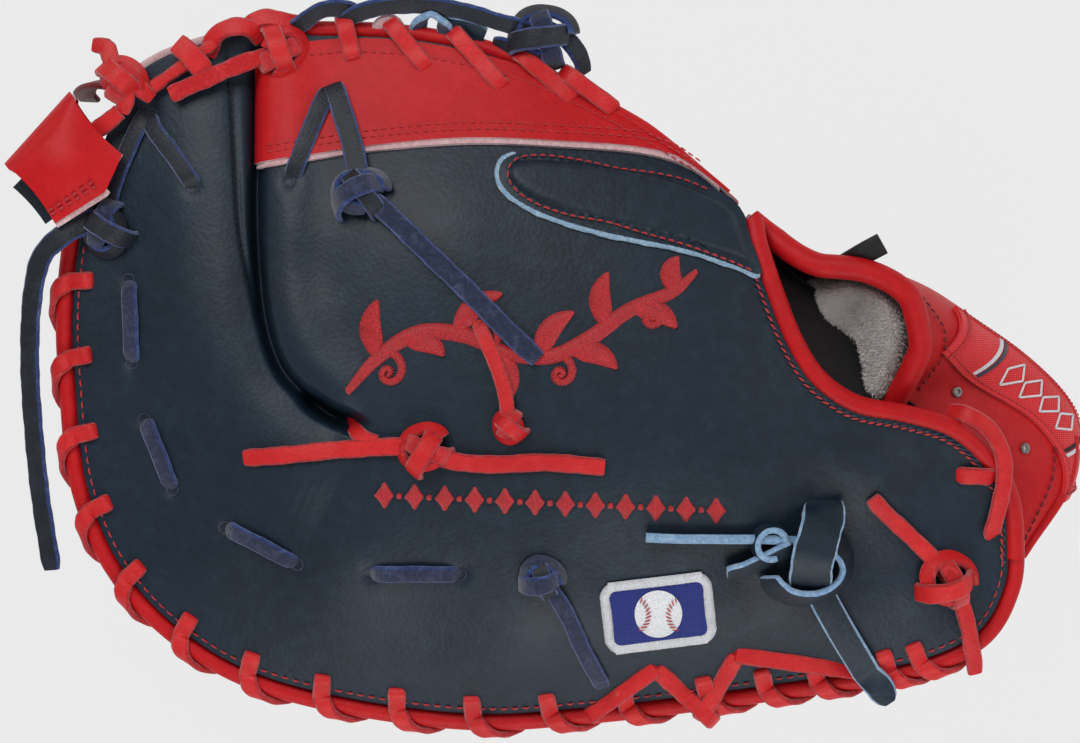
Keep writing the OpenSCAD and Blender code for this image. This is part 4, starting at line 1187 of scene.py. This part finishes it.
# ================= wrist strap =================
STRAP_TOP = [(63.5, 48, 92), (73.5, 38.5, 95), (84, 32.5, 97), (97, 31, 98), (109, 25.5, 98),
             (115.5, 15, 97), (116, 5, 94),
             (111, -6, 89), (121, -15, 83), (136, -28, 75), (142, -57, 65)]
STRAP_MID = [(68, 46, 60), (78, 39, 60), (90, 35, 60), (106, 31, 58), (122, 24.5, 57), (138, 14, 56),
             (151, 4, 56),
             (160, -7, 55), (165, -20, 54), (163, -37, 53), (148, -58, 53)]
STRAP_LOW = [(70, 42, 30), (80, 36, 29), (92, 31, 28), (105, 24, 27), (118, 15, 26), (131, 5, 26),
             (141, -4, 26),
             (147, -14, 27), (149, -25, 28), (147, -40, 30), (139, -57, 32)]
STRAP_LINES = [open_curve(p, 24) for p in (STRAP_TOP, STRAP_MID, STRAP_LOW)]


def strap_at(u, v):
    """Outer surface of the strap: u along it, 0 to 10, and v down it, 0 to 1."""
    at = np.linspace(0, 10, len(STRAP_LINES[0]))
    t, m, l = (np.stack([np.interp(u, at, line[:, k]) for k in range(3)], -1) for line in STRAP_LINES)
    v = np.asarray(v)[..., None]
    return t * (1 - v) * (1 - 2 * v) + m * 4 * v * (1 - v) + l * v * (2 * v - 1)


def strap_out(u, v):
    a = strap_at(np.clip(u + 0.05, 0, 10), v) - strap_at(np.clip(u - 0.05, 0, 10), v)
    b = strap_at(u, v + 0.01) - strap_at(u, v - 0.01)
    return unit(np.cross(a, b))


def strap_patch(u, v, outer, inner):
    uu, vv = np.meshgrid(u, v, indexing="ij")
    p, o = strap_at(uu, vv), strap_out(uu, vv)
    return p + o * outer, p + o * inner


def strap():
    pile = Pile()
    add_sheet(pile, *strap_patch(np.linspace(0, 10, 121), np.linspace(0, 1, 41), 0.0, -LEATHER_T), 0, 1)
    pile.make("wrist_strap_leather", [RED, RED_EDGE], "wrist_strap", "red leather", body=STRAP)
    roll = Pile()
    u = np.linspace(0.1, 4.9, 60)
    lip_line = strap_at(u, np.zeros(len(u))) + UP * 1.6
    under_lip = np.array([(115.6, 8.5, 96), (113.6, 2, 94), (110.8, -4, 91.5), (107.6, -9.5, 88),
                          (103.5, -15, 83)])
    line = open_curve([tuple(q) for q in lip_line[::6]] + [tuple(q) for q in under_lip], 8)
    swell = np.interp(np.arange(len(line)), [0, 12, len(line) - 12, len(line)], [0.7, 1, 1, 0.8])
    add_tube(roll, line, 3.7, n=18, scale=swell, outs=np.array([-0.4, -0.4, 1]))
    roll.make("strap_rolled_lip", [RED], "strap_roll", "red leather", body=STRAP)
    welt = Pile()
    u = np.linspace(8.0, 9.95, 70)
    v = np.interp(u, [8.0, 9.0, 9.95], [0.5, 0.45, 0.4])
    o = strap_out(u, v)
    add_tube(welt, strap_at(u, v) + o * 0.2, 1.7, n=12, outs=o)
    v = v - 0.15
    add_stitches(welt, strap_at(u, v) + strap_out(u, v) * 0.4, strap_out(u, v), 2.8, 2.2, 0.35, mat=1)
    welt.make("strap_welt", [RED, MAROON], (), "red leather", body=STRAP)
    sewn = Pile()
    u = np.linspace(3.9, 6.9, 140)
    v = np.interp(u, [3.9, 5.2, 6.9], [0.07, 0.085, 0.03])
    add_stitches(sewn, strap_at(u, v) + strap_out(u, v) * 0.5, strap_out(u, v), 2.5, 1.9, 0.32, slant=0.3)
    sewn.make("strap_stitches", [MAROON], (), "red lace", body=STRAP)
    fur()
    label()
    eyes = Pile()
    for u, v in ((7.05, 0.11), (8.5, 0.19)):
        p, o = strap_at(np.array([u]), np.array([v]))[0], strap_out(np.array([u]), np.array([v]))[0]
        side = unit(np.cross(o, UP))
        up = np.cross(side, o)
        c = circle(25, True)
        add_tube(eyes, p + o * 0.5 + (side * c[:, :1] + up * c[:, 1:]) * 1.15, 0.55, n=8, outs=o)
        add_tube(eyes, p + o * np.array([[-0.4], [0.45]]), 1.0, outs=side)
    eyes.make("strap_metal_eyelets", [METAL, BLACK], "strap_eyelets", "eyelet metal", body=STRAP)
    tab = Pile()
    strand(tab, [(90, 30.8, 92), (94, 33.4, 96), (98.5, 36, 100), (103.8, 38.8, 101)], [0.2, -0.35, 1], 7.0,
           2.4, None, 0)
    tab.make("strap_black_tab", [BLACK], "strap_tab", "black lining", body=STRAP)


FUR_EDGE = [(86, 28.5), (97, 29.5), (108, 24.5), (113.5, 16), (114, 4), (110, -7), (103, -16), (94, -17),
            (93.5, -11), (95.5, -3),
            (91.5, 2), (87.5, 8), (83, 15), (81, 21), (82.5, 26)]


def fur_top(x, y):
    """Two soft lobes: a bright ridge that follows the lip and a lower one beside it."""
    ridge, _ = off_line(x, y,
                        open_curve([(92, 29), (101, 27), (107, 18), (107, 8), (103.5, -3), (99, -14)], 6))
    lobe = ((x - 88.5) / 7) ** 2 + ((y - 19) / 8) ** 2
    return 84 + 8 * np.exp(-((ridge / 6) ** 2)) + 4.5 * np.exp(-lobe) - 7 * smooth((-5 - y) / 9)


def fur():
    line = closed_curve(FUR_EDGE, 8)
    middle = line.mean(0)
    rings = np.linspace(0, 1, 22)[1:]
    n = len(line)
    flat = disc_points(middle, line, rings)
    share = np.r_[0, np.repeat(rings, n)]
    z = fur_top(flat[:, 0], flat[:, 1]) * (1 - share**12) + FUR_BASE_Z * share**12
    skin = disc_faces(len(rings), n)
    skin.append(tuple(len(flat) - n + j for j in range(n))[::-1])
    cushion = Pile().add(np.column_stack([flat, z]), skin).make("strap_sheepskin_backing", [FUR],
                                                                "strap_fur", "sheepskin", body=STRAP)
    count = 19000
    a = chance.uniform(0, 1, count) ** 0.5
    k = chance.integers(0, n, count)
    mix = chance.uniform(0, 1, (count, 1))
    rim = line[k] * (1 - mix) + line[(k + 1) % n] * mix
    x, y = (middle + (rim - middle) * a[:, None]).T
    z = fur_top(x, y) * (1 - a**12) + FUR_BASE_Z * a**12
    dx, dy = (fur_top(x + 1, y) - fur_top(x - 1, y)) / 2, (fur_top(x, y + 1) - fur_top(x, y - 1)) / 2
    normal = unit(np.stack([-dx, -dy, np.ones(count)], -1))
    normal = unit(normal + np.column_stack([(rim - middle) * (a[:, None] ** 12) * 0.12, np.zeros(count)]))
    root = np.column_stack([x, y, z - 0.4])
    lean = unit(normal + chance.normal(0, 0.34, (count, 3)) + np.array([-0.35, -0.2, 0]))
    curl_to = unit(lean + chance.normal(0, 0.4, (count, 3)) + np.array([-0.3, -0.3, -0.1]))
    long = chance.uniform(1.2, 2.5, count)[:, None]
    mid, tip = root + lean * long * 0.55, root + lean * long * 0.55 + curl_to * long * 0.5
    side = unit(np.cross(lean, chance.normal(0, 1, (count, 3)))) * 0.2
    other = unit(np.cross(lean, side)) * 0.2
    verts = np.stack([root - side, root + side, root + other, mid - side * 0.7, mid + side * 0.7,
                      mid + other * 0.7, tip], 1)
    pattern = [(0, 1, 4, 3), (1, 2, 5, 4), (2, 0, 3, 5), (3, 4, 6), (4, 5, 6), (5, 3, 6)]
    faces = [tuple(7 * k + i for i in f) for k in range(count) for f in pattern]
    hair = Pile().add(verts.reshape(-1, 3), faces)
    hair.make("strap_sheepskin_pile", [FUR], (), "sheepskin", body=STRAP, sharp=None)


def label_uv(s, t):
    """Across the strap from the lip towards its widest part: s along the label and t over it."""
    return 5.95 + 3.25 * s - (1.3 - 0.9 * s) * t, 0.055 + 0.38 * s + (0.2 + 0.13 * s) * t


def label_patch(s, t, outer, inner):
    ss, tt = np.meshgrid(s, t, indexing="ij")
    u, v = label_uv(ss, tt)
    p, o = strap_at(u, v), strap_out(u, v)
    return p + o * outer, p + o * inner


def label_line(s, t, lift):
    u, v = label_uv(s, t)
    o = strap_out(u, v)
    return strap_at(u, v) + o * lift, o


def label():
    pile = Pile()
    s, t = np.linspace(0, 1, 70), np.linspace(0, 1, 36)
    add_sheet(pile, *label_patch(s, t, 1.2, 0.1))
    for a, b in ((0.0, 0.085), (0.915, 1)):
        add_sheet(pile, *label_patch(s, np.linspace(a, b, 5), 1.6, 0.9))
    for a, b in ((0, 0.05), (0.95, 1)):
        add_sheet(pile, *label_patch(np.linspace(a, b, 5), t, 1.6, 0.9))
    pile.make("strap_woven_label", [RED_CLOTH], "strap_label", "red cloth", body=STRAP)
    marks = Pile()
    for at, mat in ((0.2, 0), (0.224, 1), (0.76, 2), (0.784, 0)):
        add_sheet(marks,
                  *label_patch(np.linspace(at, at + 0.017, 4), np.linspace(0.06, 0.94, 30), 1.45, 1.1), mat,
                  mat)
    for k in range(4):
        c = 0.335 + k * 0.105
        turn = np.linspace(0, 2 * math.pi, 5)
        line, o = label_line(c + 0.046 * np.cos(turn), 0.45 + 0.27 * np.sin(turn), 1.5)
        add_tube(marks, spaced(line, 0.7), 0.36, mat=0, n=6, outs=o[0])
    marks.make("strap_label_weaving", [WHITE_THREAD, NAVY_THREAD, BLACK], (), "white thread", body=STRAP)
    hem = Pile()
    for at in (0.065, 0.935):
        add_stitches(hem, *label_line(np.linspace(0.01, 0.99, 160), np.full(160, at), 1.75), 1.5, 1.1, 0.2)
    for at in (0.035, 0.965):
        add_stitches(hem, *label_line(np.full(70, at), np.linspace(0.02, 0.98, 70), 1.75), 1.2, 1.1, 0.3)
    hem.make("strap_label_hem_stitches", [RED_THREAD], (), "red lace", body=STRAP)


def wrist_lining():
    """Black lining from the strap down to the thumb back, and up its inner face."""
    u = np.linspace(0.3, 9.8, 70)
    lip = np.array([(60, 41, 14), (62, 30, 9), (68, 15, 6), (78, 1, 5), (92, -11, 5), (109, -20, 6),
                    (122, -32, 10), (128, -46, 22)])
    lip = open_curve(lip, 10)
    at = np.linspace(0, 1, len(lip))
    inner = np.stack([np.interp(np.linspace(0, 1, 70), at, lip[:, k]) for k in range(3)], 1)
    rows = [strap_at(u, np.full(70, v)) - strap_out(u, np.full(70, v)) * 3.6
            for v in np.linspace(0.06, 1.0, 16)]
    rows += [rows[15] * (1 - k) + inner * k - UP * 6 * k * (1 - k) for k in np.linspace(0, 1, 10)[1:]]
    grid = np.array(rows)
    pile = Pile()
    add_sheet(pile, grid, grid - UP * 0.6)
    o = pile.make("wrist_opening_lining", [BLACK], (), "black lining", body=None)
    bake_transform(o)


# ================= web =================
WEB_RUN = [(-118, 85), (-92, 93), (-60, 96.5), (-34, 96), (-8, 89), (14, 76), (34, 63), (50, 50)]


def web():
    line = spaced(open_curve(WEB_RUN, 12), 2.0)
    line = np.column_stack([line, np.zeros(len(line))])
    o = outward(line)
    middle_z, half_h = HINGE_Z + 0.5, 25
    grid = np.array([line + o * (4 * (1 - s * s) - 1.2 * (abs(s) > 0.85)) + UP * (middle_z + s * half_h)
                     for s in np.linspace(-1, 1, 17)])
    pile = Pile()
    add_sheet(pile, grid + o[None] * 1.3, grid - o[None] * 1.3)
    piece = pile.make("web_leather", [NAVY], "web_panel", "navy leather", body=None)
    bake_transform(piece)


def end_strap_grid():
    """The folded end strap: its top, the fold, and the part that runs back under it."""
    fold_a, fold_b = np.array([-163.4, 63.5]), np.array([-143.6, 85.5])
    free_a, cut, free_b = np.array([-147.5, 45.0]), np.array([-132.2, 54.6]), np.array([-127.0, 66.0])
    fold_share, cut_at = 0.16, 0.62
    steps = [("top", v) for v in np.linspace(1, fold_share, 16)]
    steps += [("turn", a) for a in np.linspace(90, -90, 11)[1:-1]]
    steps += [("low", v) for v in np.linspace(fold_share, 0.6, 8)]
    grid = []
    for kind, s in steps:
        for share in np.arange(24) / 23:
            a = fold_a + (fold_b - fold_a) * share
            b = free_a + (cut - free_a) * min(1, share / cut_at)
            b = b + (free_b - cut) * max(0, (share - cut_at) / (1 - cut_at))
            if kind == "turn":
                t = math.radians(s)
                q = a + (b - a) * fold_share * (1 - math.cos(t))
                z = 86.5 + 6.5 * math.sin(t)
            else:
                q = a + (b - a) * s + (fold_b - fold_a) * 0.045 * (1 - 2 * share) * math.sin(math.pi * s)
                swell = math.sin(math.pi * s) * math.sin(math.pi * share)
                z = (92.5 + 4.5 * swell + 1.5 * s) if kind == "top" else 80
            grid.append([q[0], q[1], z])
    return np.array(grid).reshape(len(steps), -1, 3)


def end_strap():
    grid = end_strap_grid()
    gu, gv = np.gradient(grid, axis=0), np.gradient(grid, axis=1)
    out = unit(np.cross(gv, gu))
    if out[2, 10, 2] < 0:
        out = -out
    pile = Pile()
    add_sheet(pile, grid, grid - out * 2.2, 0, 1)
    away = unit(grid[0] - grid[1]) * 1.5
    strip = np.array([grid[0] - UP * 0.5 - away, grid[0] - UP * 0.7 + away])[:, :16]
    add_sheet(pile, strip, strip - UP * 1.2, 1, 1)
    pile.make("web_end_strap_leather", [RED, RED_EDGE], "web_end_strap", "red leather")
    flap = Pile()
    under = grid[4:16, :20] * np.array([1, 1, 0]) + np.array([-1.0, -4.6, 78.5])
    add_sheet(flap, under, under - UP * 2, 0, 0)
    flap.make("web_end_flap_navy", [NAVY], (), "navy leather")
    sewn = Pile()
    inside = slice(1, 14)
    for k in (2, 3):
        add_stitches(sewn, grid[k][inside] + out[k][inside] * 0.2, out[k][inside], 2.7, 1.9, 0.36)
    sewn.make("web_end_strap_stitches", [RED_THREAD], (), "red lace")
    loop = Pile()
    route = [(-139, 84, 62), (-140, 86, 70), (-136, 88, 78), (-129, 87, 80), (-126, 84, 70), (-126, 83, 62)]
    add_lace(loop, dense(route), np.array([0, 1, 0.3]), 7, 1.8)
    loop.make("web_inner_loop_maroon", [MAROON], "web_inner_loop", "red leather", body=WEB)


def flat_place(at, x, y):
    """A place in space whose up is UP, turned so that its first direction is along x, y."""
    return np.array(at), unit(np.array([x, y, 0.0])), unit(np.array([-y, x, 0.0])), UP


def web_red_knots():
    knots = Pile()
    add_knot(knots, flat_place([-126.5, 89.0, 90.5], 0.35, -0.93), 0, 0.86, 6.2, 1.9, tilt=20)
    for w, route in ((LACE_W, [(-128, 91, 94), (-130.5, 95, 93.5), (-132, 98.6, 92), (-136, 99.5, 90)]),
                     (LACE_W, [(-126.5, 88, 94), (-126, 83.5, 94), (-127, 79, 91)]),
                     (LACE_W, [(-125, 89, 93), (-121.5, 86, 93), (-118.5, 83.5, 90)]),
                     (LACE_W, [(-128, 79, 92), (-133, 75, 90), (-138, 72, 87)]),
                     (4.0, [(-118, 86.5, 90.5), (-108, 93.5, 91.5), (-99, 100, 91)])):
        strand(knots, route, UP, w, ends=(1, 0.8), wave=0.05)
    strand(knots, [(-110.5, 100, 93), (-106, 96, 94), (-102, 91, 93)], UP, 7.0, ends=(0.9, 0.9), wave=0.02)
    for route in ([(-101, 96.5, 88), (-99, 102, 91.5), (-94, 104.8, 93), (-88.5, 104.4, 93),
                   (-85, 101, 91)],
                  [(-90, 105, 90.5), (-84, 107.6, 92), (-77, 106.5, 92.5), (-72, 105, 91)]):
        strand(knots, route, [0, 0.35, 1.0], 5.6, 1.9, (0.9, 0.9), 0.05)
    add_tube(knots, spaced(roll_line(edge_run(back, *BARE_RUN), 0.6, -0.6), 1.6), 1.7, mat=3)
    knots.make("web_knot_and_arcs_red", LACES_RED + [RED_EDGE], "web_red_knots", "red lace")
    second = Pile()
    add_knot(second, flat_place([-78.0, 97.0, 92.0], -0.9, -0.42), 0, 1.05, 5.8, 1.8, tilt=75)
    strand(second, [(-79.5, 105.5, 89), (-79.5, 102, 94), (-78.5, 98, 96)], ends=(0.9, 0.9), wave=0.03)
    second_knot = second.make("web_second_knot_red", LACES_RED, (), "red lace")
    route = dense([(-80, 96.6, 95.5), (-88, 94.5, 95.5), (-97, 91, 94.5), (-105, 87.5, 93.5),
                   (-112.5, 84.2, 92.5)])
    tail("web_suede_tail_red", route, UP, 5.4, 1.9, LACES_RED, "web_suede_tail", flip=True,
         with_pieces=(second_knot,), wave=0.06)


def web_top():
    """Navy laces that run along the spine behind the web, with a knot and a raw-edged loop."""
    pile = Pile()
    low = [0, -0.5, 1.0]
    strand(pile,
           [(-78, 103, 90), (-73, 105.5, 93), (-66.5, 109.8, 95), (-59, 110.4, 94), (-55.5, 108.6, 90)],
           low, t=1.9)
    strand(pile, [(-60, 106.5, 92), (-56, 108.6, 95), (-49, 110.6, 96), (-38, 111.4, 96), (-25, 109.8, 97),
                  (-12, 106, 98), (-2, 103.6, 97), (3, 103.5, 94)], low, 5.6, 1.9)
    add_knot(pile, flat_place([1.5, 102.5, 93.5], 0.8, -0.6), 0, 1.25, 6.4, 1.9, tilt=35)
    strand(pile, [(-14, 100, 94), (-8, 98.6, 96), (-2, 98.8, 95)], low, 5.0)
    strand(pile, [(2, 104, 95), (8, 101, 96), (12, 96, 94), (13.5, 91, 91)], [0.5, 0.2, 1], 6.0, 1.9,
           (1, 0.8))
    pile.make("web_top_lace_navy", LACES_NAVY, "web_top_lace", "navy lace")
    loop = Pile()
    strand(loop, [(-38, 102.5, 90), (-36, 107, 94), (-32.5, 108.6, 95), (-29.5, 106, 95), (-28.2, 101, 92)],
           [0, 1.0, 0.1], 5.5, 2.0)
    strand(loop, [(-30, 105, 92), (-24, 104, 94.5), (-17, 101.5, 94)], low, 8.0, ends=(1, 0.8), wave=0.03)
    loop.make("web_raw_edged_loop", THONG_MATS, (), "navy leather")
    pink = Pile()
    strand(pink, [(-51, 102.5, 90), (-48, 106.5, 93), (-44, 106.6, 93), (-42, 103, 91)], low, 3.4, 1.6)
    pink.make("web_raw_loop_pink", [RED_EDGE] * 3, (), "red leather")


# ================= inside pieces =================
HEEL_AT = np.array([108, -52])
HEEL_SIZE = np.array([7, 14])


def inner_shell(name, outline, share, top, thick, body, stands_for, mat, slot, padded=None):
    shrunk = [(*(MIDDLE + (np.array([x, y]) - MIDDLE) * share), z) for x, y, z in outline]
    o = shell(name, Outline(shrunk), top, body, mat, stands_for, slot, rings=30, turns=120, thick=thick)


def insides():
    gap = LEATHER_T + 1
    felt, lining = (FELT, "felt", 0.8), (BLACK, "black lining")
    for name, outline, share, top, thick, body, node, look in (
            ("thumb_palm_felt_pad", THUMB_EDGE, 0.74, lambda x, y: thumb_top(x, y) - gap, PAD_T, THUMB,
             "thumb_palm_pad", felt),
            ("thumb_stall_lining", THUMB_EDGE, 0.7, lambda x, y: thumb_top(x, y) - gap - 5.5, 1.2, THUMB,
             "thumb_stall_liner", lining),
            ("finger_palm_felt_pad", PALM_EDGE, 0.74, lambda x, y: palm_low(x, y) + gap + PAD_T, PAD_T,
             FINGER,
             "finger_palm_pad", felt),
            ("finger_stall_lining", PALM_EDGE, 0.7, lambda x, y: palm_low(x, y) + gap + 6.7, 1.2, FINGER,
             "finger_stall_liner", lining)):
        inner_shell(name, outline, share, top, thick, body, node, *look)
    heel = Pile()
    pts = []
    for share, drop in ((0.02, 0), (0.6, 0), (0.92, 0.4), (1, 1.4), (1, 3.2), (0.9, 4.4), (0.02, 4.6)):
        x, y = (HEEL_AT + HEEL_SIZE * share * circle(36)).T
        pts.append(np.column_stack([x, y, thumb_top(x, y) - gap - drop]))
    heel.add(np.vstack(pts), grid_faces(7, 36, wrap=True))
    heel.make("heel_felt_pad", [FELT], "heel_pad", "felt", body=THUMB)
    for name, node, at, rx, rz, body in (
            ("thumb_strap_loop", "thumb_loop", (30, -22, 4), 14, 6.5, THUMB),
            ("little_finger_strap_loop", "little_finger_loop", (20, -58, 91.5), 11, 7, FINGER)):
        a = np.linspace(0, math.pi, 30)[:, None]
        line = np.array(at) + np.hstack([0 * a, rx * np.cos(a), rz * np.sin(a)])
        pile = Pile()
        add_lace(pile, line, unit(np.hstack([0 * a, np.cos(a), 0.7 * np.sin(a)])), 10, 1.4)
        pile.make(name, [BLACK], node, "black lining", body=body)


# ================= stage =================
def stage():
    bpy.ops.mesh.primitive_plane_add(size=6, location=(0, 0, -0.0005))
    floor = bpy.context.object
    floor.name = "floor"
    s = Shader("floor")
    speck = s.ramp(s.noise(3, 2), (0.0, rgb(234, 234, 234)), (1.0, rgb(236, 236, 236)))
    s.finish(rgb(40, 40, 40), 0.95, Specular_IOR_Level=0.0)
    s.put(speck, s.bsdf.inputs["Emission Color"])
    s.bsdf.inputs["Emission Strength"].default_value = 0.97
    floor.data.materials.append(s.mat)
    world = bpy.data.worlds.new("world")
    bpy.context.scene.world = world
    world.use_nodes = True
    sky = world.node_tree.nodes["Background"]
    sky.inputs["Color"].default_value = (1, 1, 1, 1)
    sky.inputs["Strength"].default_value = 0.34
    for name, place, size, power in (("key", (-0.5, 0.85, 1.3), 0.8, 13),
                                     ("front", (0.1, -1.2, 0.75), 0.9, 9),
                                     ("side", (1.2, 0.1, 0.7), 0.8, 4)):
        light = bpy.data.lights.new(name, "AREA")
        light.size = size
        light.energy = power
        o = bpy.data.objects.new(name, light)
        bpy.context.scene.collection.objects.link(o)
        o.location = place
        o.rotation_euler = (Vector((0, 0, 0.06)) - Vector(place)).to_track_quat("-Z", "Y").to_euler()
    cam = bpy.data.cameras.new("camera")
    cam.lens = LENS
    cam.sensor_width = SENSOR
    o = bpy.data.objects.new("camera", cam)
    bpy.context.scene.collection.objects.link(o)
    o.location = (0, 0, (VIEW_Z + VIEW_W * LENS / SENSOR) * MM)
    bpy.context.scene.camera = o
    bpy.context.scene.view_settings.view_transform = "Standard"


leathers()
finger_rim()
rim_crossings()
thumb_rim()
web_side_panel()
index_pad()
opening()
web_edge()
running_laces()
seam_and_holes()
red_knots()
navy_knots()
thong()
wrist_laces()
scroll()
diamond_band()
badge()
strap()
wrist_lining()
web()
end_strap()
web_red_knots()
web_top()
insides()
stage()
